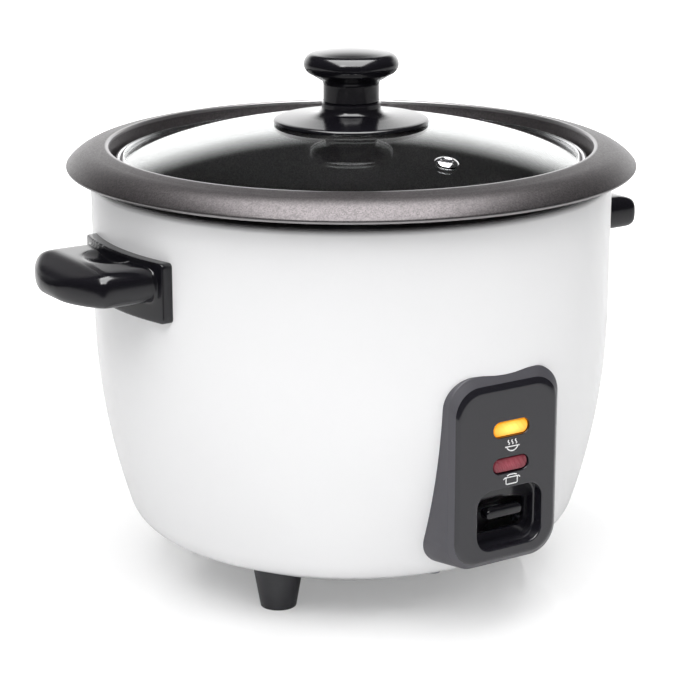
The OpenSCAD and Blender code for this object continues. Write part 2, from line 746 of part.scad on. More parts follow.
module control_panel() color("dimgray") difference() {
    union() {
        difference() {
            panel_solid(0);
            panel_solid(panel_wall);
        }
        facing(control_x, panel_y + 0.5, recess_z, recess_depth + 1)
            round_rect(recess_w + 3, recess_h + 3, 8);
        for (x = [-1, 1], z = panel_screw_zs)
            facing(x * panel_screw_x, panel_y + 1, z, 20) circle(panel_boss_r);
    }
    shell_solid();
    facing(control_x, panel_y - 1, recess_z, recess_depth + 1) round_rect(recess_w, recess_h, 6.5);
    translate([-lever_end_w / 2 - 2, panel_y, recess_z - recess_h / 2 + 3])
        cube([lever_end_w + 4, 30, recess_h - 8]);
    for (z = [warm_z, cook_z])
        facing(control_x, panel_y - 1, z, panel_wall + 2) round_rect(lens_w, lens_h, lens_h / 2 - eps);
    for (x = [-1, 1], z = panel_screw_zs)
        facing(x * panel_screw_x, panel_y + panel_wall, z, 30) circle(screw_r);
}

module lens(z) {
    facing(control_x, panel_y - 0.5, z, panel_wall + 0.5)
        round_rect(lens_w - 0.2, lens_h - 0.2, lens_h / 2 - 0.1 - eps);
    facing(control_x, panel_y + panel_wall, z, lens_wall) round_rect(lens_w + 3, lens_h + 3, 2);
}

module lens_warm() color("orange") lens(warm_z);

module lens_cook() color("firebrick") lens(cook_z);

module lamp(z) {
    translate([control_x - 6, lamp_y, z]) rotate([0, 90, 0]) cylinder(h = 12, r = lamp_r);
    for (s = [-1, 1])
        bar([control_x + s * 6, lamp_y, z], [control_x + s * (lamp_box_w / 2 - 1.5), lamp_y, z], 0.4, $fn = 24);
}

module lamp_warm() color("wheat") lamp(warm_z);

module lamp_cook() color("wheat") lamp(cook_z);

// Tray that holds both lamps behind their lenses
module lamp_holder() color("whitesmoke") {
    back_y = lamp_y + lamp_r + 0.1;
    translate([control_x - lamp_box_w / 2, back_y, lamp_low_z]) cube([lamp_box_w, 1, lamp_high_z - lamp_low_z]);
    for (s = [-1, 1])
        translate([control_x + s * (lamp_box_w / 2 - 0.6) - 0.6, panel_y + panel_wall, lamp_low_z])
            cube([1.2, back_y - panel_y - panel_wall + eps, lamp_high_z - lamp_low_z]);
}

module panel_screws() color("gray") for (x = [-1, 1], z = panel_screw_zs)
    translate([x * panel_screw_x, panel_screw_y(z), z]) rotate([90, 0, 0])
        screw(min(9, panel_screw_y(z) - panel_y - panel_wall - 0.2));

// ---------------------------------------------------------------- handles

handle_screw_y = 14;
handle_screw_seat = sqrt(pow(shell_r - shell_wall, 2) - pow(handle_screw_y + head_r, 2)) - 0.1;

module at_handle_screws() {
    for (side = [0, 180], y = [-1, 1])
        rotate(side) translate([handle_screw_seat, y * handle_screw_y, handle_z]) children();
}

// The grip in plan: straight sides, round corners and a curved front
module grip_plan() {
    tip = shell_r + grip_reach;
    intersection() {
        translate([tip - grip_front_r, 0]) circle(grip_front_r);
        translate([tip - 49, 0]) round_rect(98, 2 * grip_half_w, grip_corner_r);
        translate([shell_r - 10, -big / 2]) square([big, big]);
    }
}

// The grip from the side, thinner towards its tip
module grip_side() {
    top_z = handle_z + grip_rise;
    flat_reach = shell_r + grip_reach / 3;
    polygon(concat(
        [[shell_r - 10, top_z - grip_h], [flat_reach, top_z - grip_h]],
        arc([shell_r + grip_reach - grip_nose_r, handle_z], grip_nose_r, -80, 70, 8),
        [[flat_reach, top_z], [shell_r - 10, top_z]]));
}

module handle() color("dimgray") difference() {
    union() {
        intersection() {
            rotate_extrude() translate([shell_r, handle_z - plate_h / 2]) square([plate_t, plate_h]);
            rotate([0, 90, 0]) linear_extrude(big) translate([-handle_z, 0])
                round_rect(plate_h, 2 * (shell_r + plate_t) * sin(plate_half_angle), 4);
        }
        difference() {
            intersection() {
                translate([0, 0, handle_z - 20]) linear_extrude(40) grip_plan();
                translate([0, big / 2, 0]) rotate([90, 0, 0]) linear_extrude(big) grip_side();
            }
            // Finger hollow in the top
            intersection() {
                translate([shell_r + plate_t + 3.5, 0, handle_z + grip_rise - hollow_depth + hollow_r])
                    sphere(hollow_r);
                translate([shell_r + plate_t, -big / 2, 0]) cube([big, big, big]);
            }
        }
    }
    translate([0, 0, handle_z - 40]) cylinder(h = 80, r = shell_r);
    for (y = [-1, 1]) translate([shell_r - 10, y * handle_screw_y, handle_z]) rotate([0, 90, 0])
        cylinder(h = 22, r = screw_r);
}

module left_handle() mirror([1, 0, 0]) handle();

module right_handle() handle();

module handle_screws() color("gray") at_handle_screws() rotate([0, 90, 0]) screw(12);

// ---------------------------------------------------------------- power inlet

inlet_front_y = shell_at(inlet_z + inlet_h / 2) + 6;
inlet_body_l = socket_depth + 2;
inlet_wall = 1.2;
inlet_screw_x = socket_w / 2 + inlet_wall + gap + head_r;
inlet_w = 2 * (inlet_screw_x + inlet_edge_w);
inlet_pins_at = [[-8, -3.5], [8, -3.5], [0, 4]];

// The inlet's body where it passes through the shell, grown by c
module inlet_body_space(c) {
    half_w = socket_w / 2 + inlet_wall + c;
    half_h = socket_h / 2 + inlet_wall + c;
    translate([-half_w, inlet_front_y - inlet_body_l, inlet_z - half_h])
        cube([2 * half_w, inlet_body_l - 1, 2 * half_h]);
}

module inlet_socket() color("dimgray") difference() {
    union() {
        difference() {
            translate([0, inlet_front_y - 30, inlet_z]) rotate([-90, 0, 0])
                linear_extrude(30) round_rect(inlet_w, inlet_h, 4);
            shell_solid();
        }
        inlet_body_space(0);
    }
    translate([0, inlet_front_y - socket_depth, inlet_z]) rotate([-90, 0, 0]) linear_extrude(socket_depth + 1)
        round_rect(socket_w, socket_h, 2);
    for (p = inlet_pins_at) translate([p[0] - 1, inlet_front_y - 30, inlet_z + p[1] - 2]) cube([2, 30, 4]);
    at_inlet_screws() rotate([-90, 0, 0]) translate([0, 0, -1]) cylinder(h = 9, r = screw_r);
}

module inlet_pins() color("silver") for (p = inlet_pins_at)
    translate([p[0] - 1, inlet_front_y - inlet_body_l - 4, inlet_z + p[1] - 2])
        cube([2, inlet_body_l + 1, 4]);

inlet_screw_y = sqrt(pow(shell_at(inlet_z - head_r) - shell_wall, 2) - pow(inlet_screw_x + head_r, 2)) - 0.1;

module at_inlet_screws() {
    for (x = [-1, 1]) translate([x * inlet_screw_x, inlet_screw_y, inlet_z]) children();
}

module inlet_screws() color("gray") at_inlet_screws() rotate([-90, 0, 0]) screw(7);

// Wires from the inlet to the fuse, switch, thermostat and heating element
wire_r = 1.1;
pin_back_y = inlet_front_y - inlet_body_l - 4;
pin_low_z = inlet_z + inlet_pins_at[0][1];
element_x = element_loop_r * sin(element_end_angle);
element_y = element_loop_r * cos(element_end_angle);
switch_back_y = switch_y0 + switch_l + 6;
terminal_x = ear_x - switch_w / 2;
element_low_z = element_z - 15;
thermostat_low_z = liner_bottom_z - thermostat_l;
fuse_front_y = fuse_y - fuse_lead;
fuse_back_y = fuse_y + fuse_l + fuse_lead;
wire_routes = [
    [[-8, pin_back_y, pin_low_z], [-8, pin_back_y - 4, pin_low_z], [-12, pin_back_y - 10, 24], [fuse_x, 48, 24],
        [fuse_x, fuse_back_y + 6, fuse_z], [fuse_x, fuse_back_y, fuse_z]],
    [[fuse_x, fuse_front_y, fuse_z], [fuse_x, fuse_front_y - 6, fuse_z], [-36, -14, 22], [-4, -30, 20],
        [terminal_x, switch_back_y + 4, switch_z + 2.4], [terminal_x, switch_back_y, switch_z + 2.4]],
    [[terminal_x, switch_back_y, switch_z + 6.4], [terminal_x, switch_back_y + 6, switch_z + 6.4], [20, 0, 22],
        [element_x, element_y - 6, 24], [element_x, element_y, element_low_z - 4],
        [element_x, element_y, element_low_z]],
    [[8, pin_back_y, pin_low_z], [8, pin_back_y - 4, pin_low_z], [0, element_y + 10, 26],
        [-element_x, element_y + 4, element_low_z - 6], [-element_x, element_y, element_low_z - 4],
        [-element_x, element_y, element_low_z]],
    [[thermostat_at[0] + 4, thermostat_at[1], thermostat_low_z], [thermostat_at[0] + 4, thermostat_at[1], 25],
        [thermostat_at[0], 36, 22], [element_x + 8, element_y + 6, 24],
        [element_x + 3, element_y + 1, element_low_z + 4]]];

module wiring() color("whitesmoke") for (w = wire_routes) wire(w, wire_r);

// ---------------------------------------------------------------- pot

rim_c = [rim_r - bead_r - (rim_arc_r - bead_r) * cos(39.5), rim_top_z - rim_arc_r - 0.7];
pot_corner_c = [pot_r - pot_corner_r, pot_z + pot_corner_r];

module inner_pot() color("dimgray") rotate_extrude() {
    polygon(concat(
        [[0, pot_z]],
        arc(pot_corner_c, pot_corner_r, -90, 0, 8),
        [[pot_r, ledge_z - pot_wall], [mouth_r + pot_wall, ledge_z - pot_wall],
         [mouth_r + pot_wall, rim_top_z - pot_wall - 0.4]],
        arc(rim_c, rim_arc_r - pot_wall, 84, 42, 6),
        arc(rim_c, rim_arc_r, 42, 84, 8),
        [[mouth_r + 0.6, rim_top_z], [mouth_r, rim_top_z - 0.6], [mouth_r - 0.5, ledge_z],
         [pot_r - pot_wall, ledge_z]],
        arc(pot_corner_c, pot_corner_r - pot_wall, 0, -90, 8),
        [[0, pot_z + pot_wall]]));
    translate(rim_c + (rim_arc_r - bead_r) * [cos(39.5), sin(39.5)]) circle(bead_r, $fn = 24);
}

// ---------------------------------------------------------------- lid

glass_steps = 14;
knob_bore_r = knob_screw_r + 0.5;

module glass_side() {
    polygon(concat(
        [for (i = [0:glass_steps]) let (r = glass_r * i / glass_steps) [r, dome_z(r)]],
        [for (i = [glass_steps:-1:0]) let (r = glass_r * i / glass_steps) [r, dome_z(r, glass_t)]]));
}

module lid_glass() color("lightcyan", 0.5) difference() {
    rotate_extrude() glass_side();
    translate([0, 0, crown_z - 2 * glass_t]) cylinder(h = 3 * glass_t, r = knob_bore_r);
    at_vent() translate([0, 0, -10]) cylinder(h = 20, r = vent_r + 1.3);
}

module at_vent() {
    translate([0, -vent_ring_r, dome_z(vent_ring_r)]) rotate([asin(vent_ring_r / dome_r), 0, 0]) children();
}

// Steel channel rolled round the edge of the glass
lip_r = glass_r - ring_lip;

module lid_rim() color("silver") rotate_extrude() difference() {
    polygon(concat(
        [[lip_r - 1, ledge_z], [ring_r, ledge_z]],
        arc([ring_r - 1.8, dome_z(glass_r) - 0.6], 1.8, 0, 80, 4),
        [[lip_r, dome_z(lip_r) + 0.8], [lip_r - 0.2, dome_z(lip_r)], [lip_r - 1, dome_z(lip_r - 1, glass_t)]]));
    glass_side();
}

module vent_grommet() color("silver") at_vent() rotate_extrude($fn = 48) polygon([
    [vent_r, 0.9], [vent_r + 0.8, 1.2], [eyelet_r - 1, 0.9], [eyelet_r, 0.12], [vent_r + 1.25, 0.12],
    [vent_r + 1.25, -glass_t - 0.12], [eyelet_r - 0.6, -glass_t - 0.12], [eyelet_r - 0.8, -glass_t - 0.8],
    [vent_r, -glass_t - 0.8]]);

module knob_base() color("dimgray") rotate_extrude() polygon(concat(
    [for (i = [0:6]) let (r = knob_bore_r + (disc_r - knob_bore_r) * i / 6) [r, dome_z(r) + 0.1]],
    [[disc_r, dome_z(disc_r) + disc_edge_t - 0.6], [disc_r - 0.6, dome_z(disc_r) + disc_edge_t]],
    arc([collar_r + 3, seam_z - 2], 3, 230, 180, 4),
    [[collar_r, seam_z], [stem_r - 3, seam_z], [stem_r - 3, seam_z - 3], [knob_bore_r, seam_z - 3]]));

module knob() color("dimgray") difference() {
    belly_z = head_z + 0.5 * knob_h;
    revolve(concat(
        [[0, seam_z - 2.9], [stem_r - 3.1, seam_z - 2.9], [stem_r - 3.1, seam_z + 0.1],
         [stem_r, seam_z + 0.1], [stem_r, head_z - 1.5]],
        arc([stem_r + 2.5, head_z - 1.5], 2.5, 180, 100, 4),
        arc([knob_r - 4.4, belly_z], 4.4, -70, 75, 10),
        arc([0, head_z + knob_h - 34], 34, 76, 90, 5)));
    translate([0, 0, seam_z - 4]) cylinder(h = 15, r = knob_screw_r);
}

// A soft washer seats the screw under the glass
washer_t = 1.5;
washer_r = 9;
washer_z = dome_z(washer_r, glass_t) - washer_t;

module knob_screw() color("gray") translate([0, 0, washer_z]) screw(seam_z + 6 - washer_z, knob_screw_r);

module knob_washer() color("dimgray") translate([0, 0, washer_z]) difference() {
    cylinder(h = washer_t, r = washer_r);
    translate([0, 0, -1]) cylinder(h = 4, r = knob_screw_r + 0.1);
}

outer_shell();
inner_liner();
base_plate();
foot(0);  // foot_left
foot(1);  // foot_right
foot(2);  // foot_rear
foot_screws();
base_screws();
heating_plate();
heating_element();
element_bushings();
heater_screws();
lever_bracket();
bracket_screws();
lever_pivot_pin();
pivot_clips();
microswitch();
switch_terminals();
switch_screws();
switch_plunger();
lever_arm();
lever_knob();
sensor_cap();
ferrite_disc();
sensor_spring();
magnet();
magnet_rod();
release_spring();
keep_warm_thermostat();
thermal_fuse();
thermal_fuse_clip();
control_panel();
lens_warm();
lens_cook();
lamp_warm();
lamp_cook();
lamp_holder();
panel_screws();
left_handle();
right_handle();
handle_screws();
inlet_socket();
inlet_pins();
inlet_screws();
wiring();
inner_pot();
lid_glass();
lid_rim();
vent_grommet();
knob_base();
knob();
knob_screw();
knob_washer();
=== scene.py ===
"""Rice cooker: a white enamelled body with a dark lift-out pot, a glass lid and a cook lever.

Sizes are in millimetres and turned to metres by MM. The control panel faces -Y.
"""

import json
import math

import bpy
from mathutils import Matrix, Vector

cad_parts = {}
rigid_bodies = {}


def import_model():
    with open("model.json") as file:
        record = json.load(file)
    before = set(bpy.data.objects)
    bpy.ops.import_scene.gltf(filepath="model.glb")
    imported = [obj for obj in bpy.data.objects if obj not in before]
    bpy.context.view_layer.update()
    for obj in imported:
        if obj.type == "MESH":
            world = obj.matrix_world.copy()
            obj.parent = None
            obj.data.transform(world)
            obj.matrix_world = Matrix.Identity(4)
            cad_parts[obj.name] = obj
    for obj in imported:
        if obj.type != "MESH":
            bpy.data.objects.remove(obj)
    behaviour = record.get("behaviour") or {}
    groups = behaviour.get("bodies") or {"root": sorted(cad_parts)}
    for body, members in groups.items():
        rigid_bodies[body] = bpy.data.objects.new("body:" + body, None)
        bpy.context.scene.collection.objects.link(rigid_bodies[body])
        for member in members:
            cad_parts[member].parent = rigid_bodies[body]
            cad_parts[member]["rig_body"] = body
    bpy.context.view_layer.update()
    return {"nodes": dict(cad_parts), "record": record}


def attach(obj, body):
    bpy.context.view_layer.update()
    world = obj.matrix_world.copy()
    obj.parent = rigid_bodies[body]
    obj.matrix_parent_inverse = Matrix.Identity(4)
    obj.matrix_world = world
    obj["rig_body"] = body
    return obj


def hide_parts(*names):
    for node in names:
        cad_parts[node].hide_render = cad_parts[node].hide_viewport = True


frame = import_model()

MM = 0.001
TURN = 2 * math.pi

# ---------------------------------------------------------------- driving sizes

# Body
SHELL_R = 110.0
SHELL_TOP = 171.0
WIDEST_Z = 116.0
SHELL_WALL = 1.0
SIDE_ARC_R = 275.0
SIDE_SWEEP = 17.8
CORNER_R = 16.0
UNDER_SLOPE = 23.0
BASE_Z = 14.4
TOP_ROUND = 2.0
BASE_HOLE_R = 58.0

# Liner and heater
LINER_R = 101.0
LINER_WALL = 0.8
LINER_CORNER_R = 25.0
LINER_BOTTOM = 44.0
LINER_FLANGE = 7.0
HEATER_R = 72.0
HEATER_Z = 49.5
SENSOR_BORE_R = 17.5
SENSOR_R = 16.0
SENSOR_LOW = 40.64

# Pot
POT_R = 97.5
POT_WALL = 1.5
POT_Z = 60.0
POT_CORNER_R = 16.0
LEDGE_Z = 174.8
RIM_TOP = 185.2
MOUTH_R = 102.0
RIM_R = 120.0
RIM_ARC_R = 18.3
BEAD_R = 1.1
RIM_END_ANGLE = 39.5
RIM_CENTRE_R = RIM_R - BEAD_R - (RIM_ARC_R - BEAD_R) * math.cos(math.radians(RIM_END_ANGLE))
RIM_CENTRE_Z = RIM_TOP - RIM_ARC_R - 0.7
BEAD_Z = RIM_CENTRE_Z + (RIM_ARC_R - BEAD_R) * math.sin(math.radians(RIM_END_ANGLE))

# Lid and knob
DOME_R = 311.0
CROWN_Z = 194.81
GLASS_T = 3.0
GLASS_R = 98.2
RING_R = 99.6
VENT_RING_R = 69.0
DISC_R = 32.8
COLLAR_R = 12.4
SEAM_Z = 202.21
STEM_R = 11.8
HEAD_Z = 211.01
KNOB_R = 20.0
KNOB_H = 12.9

# Panel
PANEL_Y = -112.5
PANEL_W = 47.7
PANEL_LOW = 34.0
PANEL_HIGH = 107.5
PANEL_MID_Z = (PANEL_LOW + PANEL_HIGH) / 2
PANEL_H = PANEL_HIGH - PANEL_LOW
PANEL_CORNER = 11.5
PANEL_BEVEL = 3.0
PANEL_EDGE_R = 2.6
PANEL_GLOSS_DEPTH = 1.0
PANEL_TOP_SLOPE = 2.6
PANEL_FLARE = 2.4
PANEL_DEPTH = 24.0
PANEL_WALL = 2.0
PANEL_SIDE_DEPTH = 4.5
PANEL_END_DEPTH = 3.6
CONTROL_X = 1.8
LENS_W = 16.8
LENS_H = 5.7
LENS_GAP = 0.45
WARM_Z = 87.8
COOK_Z = 72.7
RECESS_W = 32.0
RECESS_H = 24.8
RECESS_Z = 50.6
RECESS_DEPTH = 10.0
RECESS_STEP = 0.6
OPENING_LOW = 41.7
OPENING_SIDE = 53.5
OPENING_HIGH = 55.8
LAMP_HOLE_HALF_W = 14.4
LAMP_HOLE_RISE = 7.4
TAB_Z = 51.5
TAB_W = 17.7
TAB_T = 4.0

# Handles
HANDLE_Z = 141.6
PLATE_T = 4.2
PLATE_LOW = 128.3
PLATE_HIGH = 152.8
PLATE_HALF_ANGLE = 16.4
GRIP_REACH = 34.4
GRIP_HALF_W = 29.0
GRIP_BLANK_HALF_W = 40.0
GRIP_BLANK_HALF_L = 49.0
GRIP_FRONT_R = 44.6
GRIP_CORNER = 12.0
GRIP_RISE = 8.5
GRIP_H = 13.7
GRIP_NOSE_R = 5.7
GRIP_UPPER_EDGE_R = 5.0
GRIP_LOWER_EDGE_R = 4.0
HOLLOW_R = 30.0
HOLLOW_DEPTH = 2.8

# Feet and inlet
FOOT_RING_R = 68.0
FOOT_FLOOR_R = 7.5
FOOT_TOP_R = 10.0
INLET_Z = 35.0
INLET_W = 42.0
INLET_H = 27.0
SOCKET_W = 24.0
SOCKET_H = 16.4
SOCKET_DEPTH = 15.0

# Clearances
FIT = 0.02
LOOSE_FIT = 0.05
RECESS_PLAY = 1.7
SOCKET_PLAY = 1.6


# ---------------------------------------------------------------- outlines

def arc(centre, radius, start, stop, count):
    """Points of an arc, with its angles in degrees."""
    angles = [math.radians(start + (stop - start) * i / count) for i in range(count + 1)]
    return [(centre[0] + radius * math.cos(a), centre[1] + radius * math.sin(a)) for a in angles]


def round_corner(before, corner, after, radius, count=5):
    """Points of an arc of this radius that touches both lines of a corner."""
    corner = Vector(corner)
    back, on = (Vector(before) - corner).normalized(), (Vector(after) - corner).normalized()
    half = back.angle(on) / 2
    centre = corner + (back + on).normalized() * radius / math.sin(half)
    start, stop = (corner + side * radius / math.tan(half) - centre for side in (back, on))
    first = math.degrees(math.atan2(start.y, start.x))
    sweep = (math.degrees(math.atan2(stop.y, stop.x)) - first + 180) % 360 - 180
    return arc(centre, radius, first, first + sweep, count)


side_centre = (SHELL_R - SIDE_ARC_R, WIDEST_Z)
corner_reach = SIDE_ARC_R - CORNER_R
corner_centre = (
    side_centre[0] + corner_reach * math.cos(math.radians(SIDE_SWEEP)),
    side_centre[1] - corner_reach * math.sin(math.radians(SIDE_SWEEP)),
)


def shell_side(inset):
    """The body's outline from its underside hole to its top flange, moved in by inset."""
    corner_end = UNDER_SLOPE - 90
    start = math.radians(corner_end)
    slope_r = corner_centre[0] + (CORNER_R - inset) * math.cos(start)
    slope_z = corner_centre[1] + (CORNER_R - inset) * math.sin(start)
    flat_r = slope_r - (slope_z - BASE_Z - inset) / math.tan(math.radians(UNDER_SLOPE))
    return (
        [(BASE_HOLE_R, BASE_Z + inset), (flat_r - 2, BASE_Z + inset), (flat_r + 1.5, BASE_Z + inset + 0.35)]
        + arc(corner_centre, CORNER_R - inset, corner_end, -SIDE_SWEEP, 20)
        + arc(side_centre, SIDE_ARC_R - inset, -SIDE_SWEEP, 0, 30)[1:]
        + [(SHELL_R - inset, WIDEST_Z + 20), (SHELL_R - inset, WIDEST_Z + 40)]
        + arc((SHELL_R - TOP_ROUND, SHELL_TOP - TOP_ROUND), TOP_ROUND - inset, 0, 90, 8)
        + [(LINER_R + 0.4, SHELL_TOP - inset)]
    )


def shell_at(z):
    """Outer radius of the body at height z."""
    if z > WIDEST_Z:
        return SHELL_R
    return side_centre[0] + math.sqrt(SIDE_ARC_R ** 2 - (WIDEST_Z - z) ** 2)


def dome_z(r, inset=0.0):
    """Height of the glass's face at radius r."""
    return CROWN_Z - DOME_R + math.sqrt((DOME_R - inset) ** 2 - r * r)


# ---------------------------------------------------------------- modelling helpers

def deselect():
    if bpy.context.object and bpy.context.object.mode != "OBJECT":
        bpy.ops.object.mode_set(mode="OBJECT")
    bpy.ops.object.select_all(action="DESELECT")


def only(piece):
    """Makes piece the one selected and active object."""
    deselect()
    piece.select_set(True)
    bpy.context.view_layer.objects.active = piece


def settle(piece):
    """Moves the piece's place, turn and size into its mesh."""
    only(piece)
    bpy.ops.object.transform_apply(location=True, rotation=True, scale=True)


def put(piece, matrix):
    """Places a piece and settles it there."""
    piece.matrix_world = matrix
    settle(piece)


def moved(x, y, z):
    return Matrix.Translation((x * MM, y * MM, z * MM))


def turned(degrees, axis="Z"):
    return Matrix.Rotation(math.radians(degrees), 4, axis)


def start_plane(size, location=(0, 0, 0), rotation=(0, 0, 0)):
    deselect()
    bpy.ops.mesh.primitive_plane_add(size=size, location=location, rotation=rotation)
    return bpy.context.object


def edit_all():
    """Goes into edit mode with every point selected."""
    bpy.ops.object.mode_set(mode="EDIT")
    bpy.ops.mesh.select_all(action="SELECT")


def tidy_faces(piece, merge=0.002):
    """Merges doubles and points every face outwards."""
    only(piece)
    edit_all()
    bpy.ops.mesh.remove_doubles(threshold=merge * MM)
    bpy.ops.mesh.normals_make_consistent(inside=False)
    bpy.ops.object.mode_set(mode="OBJECT")


def close(piece):
    """Leaves edit mode and cleans the new form."""
    bpy.ops.object.mode_set(mode="OBJECT")
    tidy_faces(piece)
    return piece


def soften(piece, angle):
    """Shades a piece smooth, apart from edges sharper than the angle."""
    only(piece)
    bpy.ops.object.shade_smooth_by_angle(angle=math.radians(angle))
    return piece


def modify(piece, kind, **settings):
    """Adds a modifier with its settings and applies it."""
    only(piece)
    modifier = piece.modifiers.new(kind.lower(), kind)
    for key, value in settings.items():
        setattr(modifier, key, value)
    bpy.ops.object.modifier_apply(modifier=modifier.name)


def blended(piece, voxel_mm, rounds):
    """Remeshes a piece into even voxels and smooths its edges."""
    modify(piece, "REMESH", mode="VOXEL", voxel_size=voxel_mm * MM)
    modify(piece, "SMOOTH", factor=0.5, iterations=rounds)


def traced(points, y=0.0):
    """Extrudes a line of (x, z) points from one vertex, and stays in edit mode with it selected."""
    piece = start_plane(MM)
    edit_all()
    bpy.ops.mesh.merge(type="CENTER")
    bpy.ops.transform.translate(value=(points[0][0] * MM, y * MM, points[0][1] * MM))
    for (x0, z0), (x1, z1) in zip(points, points[1:]):
        step = ((x1 - x0) * MM, 0, (z1 - z0) * MM)
        bpy.ops.mesh.extrude_region_move(TRANSFORM_OT_translate={"value": step})
    bpy.ops.mesh.select_all(action="SELECT")
    return piece


def lathe(name, outline, steps=144):
    """Spins a line of (r, z) points round the Z axis."""
    piece = traced(outline)
    piece.name = name
    bpy.ops.mesh.spin(steps=steps, angle=TURN, center=(0, 0, 0), axis=(0, 0, 1))
    return close(piece)


def side_extrusion(points, half_width):
    """A closed outline of (x, z) points as a solid across Y."""
    piece = traced(points, -half_width)
    bpy.ops.mesh.edge_face_add()
    bpy.ops.mesh.extrude_region_move(TRANSFORM_OT_translate={"value": (0, 2 * half_width * MM, 0)})
    return close(piece)


def cut(piece, tool, how="DIFFERENCE"):
    """Takes tool away from piece, or joins or crosses them, and removes tool."""
    modify(piece, "BOOLEAN", object=tool, operation=how, solver="EXACT")
    bpy.data.objects.remove(tool)


def block(low, high, round_by=0.0, segments=3):
    """A box between two corners, with its edges rounded."""
    deselect()
    size = [b - a for a, b in zip(low, high)]
    middle = [(a + b) / 2 * MM for a, b in zip(low, high)]
    bpy.ops.mesh.primitive_cube_add(size=1, location=middle, scale=[s * MM for s in size])
    piece = bpy.context.object
    settle(piece)
    if round_by:
        modify(piece, "BEVEL", width=round_by * MM, segments=segments, limit_method="NONE")
    return piece


def rod(start, stop, radius, vertices=48):
    """A round bar between two points."""
    deselect()
    start, stop = Vector(start) * MM, Vector(stop) * MM
    span = stop - start
    bpy.ops.mesh.primitive_cylinder_add(
        vertices=vertices, radius=radius * MM, depth=span.length, location=(start + stop) / 2,
        rotation=span.to_track_quat("Z", "Y").to_euler())
    piece = bpy.context.object
    settle(piece)
    return piece


def stepped_slab(width, height, corner, x, z, rings, segments=10):
    """A slab facing -Y, extruded back through rings of (y, growth on each side, extra growth at the top)."""
    rings = [ring if len(ring) == 3 else (*ring, 0.0) for ring in rings]
    first_y, first_grow, first_lift = rings[0]
    piece = start_plane(1, (x * MM, first_y * MM, (z + first_lift / 2) * MM), (math.pi / 2, 0, 0))
    piece.scale = ((width + 2 * first_grow) * MM, (height + 2 * first_grow + first_lift) * MM, 1)
    settle(piece)
    edit_all()
    bpy.ops.mesh.bevel(offset=(corner + first_grow) * MM, segments=segments, affect="VERTICES")
    bpy.ops.mesh.select_all(action="SELECT")
    for (y0, grow0, lift0), (y1, grow1, lift1) in zip(rings, rings[1:]):
        step = (0, (y1 - y0) * MM, (lift1 - lift0) / 2 * MM)
        bpy.ops.mesh.extrude_region_move(TRANSFORM_OT_translate={"value": step})
        wider = (width + 2 * grow1) / (width + 2 * grow0)
        taller = (height + 2 * grow1 + lift1) / (height + 2 * grow0 + lift0)
        if (wider, taller) != (1, 1):
            bpy.ops.transform.resize(value=(wider, 1, taller),
                                     center_override=(x * MM, y1 * MM, (z + lift1 / 2) * MM))
    return close(piece)


def slab(width, height, corner, x, z, y_front, depth):
    """A plate facing -Y with round corners."""
    return stepped_slab(width, height, corner, x, z, [(y_front, 0), (y_front + depth, 0)])


def set_finish(piece, finish):
    piece.data.materials.clear()
    piece.data.materials.append(finish)


def stand_in(piece, name, finish, *nodes):
    """Gives the piece its name, finish and body, in place of its CAD nodes."""
    piece.name = name
    piece.data.name = name
    set_finish(piece, finish)
    owner = frame["nodes"][nodes[0]]["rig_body"]
    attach(piece, owner)
    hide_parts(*nodes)


slot_of = {row["node"]: row["material_slot"] for row in frame["record"]["subparts"]}


# ---------------------------------------------------------------- materials

def linear(hex_colour):
    """An sRGB hex colour as linear RGBA."""
    parts = [int(hex_colour[i:i + 2], 16) / 255 for i in (1, 3, 5)]
    return tuple(c / 12.92 if c <= 0.04045 else ((c + 0.055) / 1.055) ** 2.4 for c in parts) + (1.0,)


def add(tree, kind, inputs=(), **settings):
    """Adds a node with its settings; an input is a value, or a socket to link from."""
    made = tree.nodes.new(kind)
    for key, value in settings.items():
        setattr(made, key, value)
    for key, value in dict(inputs).items():
        if isinstance(value, bpy.types.NodeSocket):
            tree.links.new(value, made.inputs[key])
        else:
            made.inputs[key].default_value = value
    return made


def blend(tree, share, first, second):
    """Mixes two colours; each is RGBA or a socket to link from."""
    return add(tree, "ShaderNodeMix", {0: share, 6: first, 7: second}, data_type="RGBA").outputs[2]


def surface(name, colour, **sockets):
    """A new material with its Principled shader and Object coordinates."""
    made = bpy.data.materials.new(name)
    made.use_nodes = True
    tree = made.node_tree
    shader = tree.nodes["Principled BSDF"]
    shader.inputs["Base Color"].default_value = linear(colour)
    for key, value in sockets.items():
        shader.inputs[key.replace("_", " ")].default_value = value
    place = add(tree, "ShaderNodeTexCoord").outputs["Object"]
    return made, tree, shader, place


def ramp(tree, value, start, stop, low=0.0, high=1.0):
    """Carries a value from one range into another and holds it at the ends."""
    made = add(tree, "ShaderNodeMapRange", {"Value": value, "From Min": start, "From Max": stop,
                                            "To Min": low, "To Max": high})
    return made.outputs["Result"]


def noise(tree, place, size_mm, detail):
    made = add(tree, "ShaderNodeTexNoise", {"Vector": place, "Scale": 1 / (size_mm * MM), "Detail": detail})
    return made.outputs["Fac"]


def mottle(tree, shader, place, low, high, size_mm, detail=3.0, at="Base Color"):
    """Lets a colour or roughness drift between two values over patches of size_mm."""
    cloud = noise(tree, place, size_mm, detail)
    if at == "Base Color":
        source = blend(tree, cloud, low, high)
    else:
        source = ramp(tree, cloud, 0.3, 0.7, low, high)
    tree.links.new(source, shader.inputs[at])


def relief(tree, shader, height, depth_mm, strength=1.0):
    """Turns a height from 0 to 1 into bumps depth_mm deep."""
    bump = add(tree, "ShaderNodeBump", {"Height": height, "Distance": depth_mm * MM, "Strength": strength})
    tree.links.new(bump.outputs["Normal"], shader.inputs["Normal"])


def skin(tree, shader, place, size_mm, detail, depth_mm, strength=0.3):
    """An uneven skin: bumps size_mm across."""
    relief(tree, shader, noise(tree, place, size_mm, detail), depth_mm, strength)


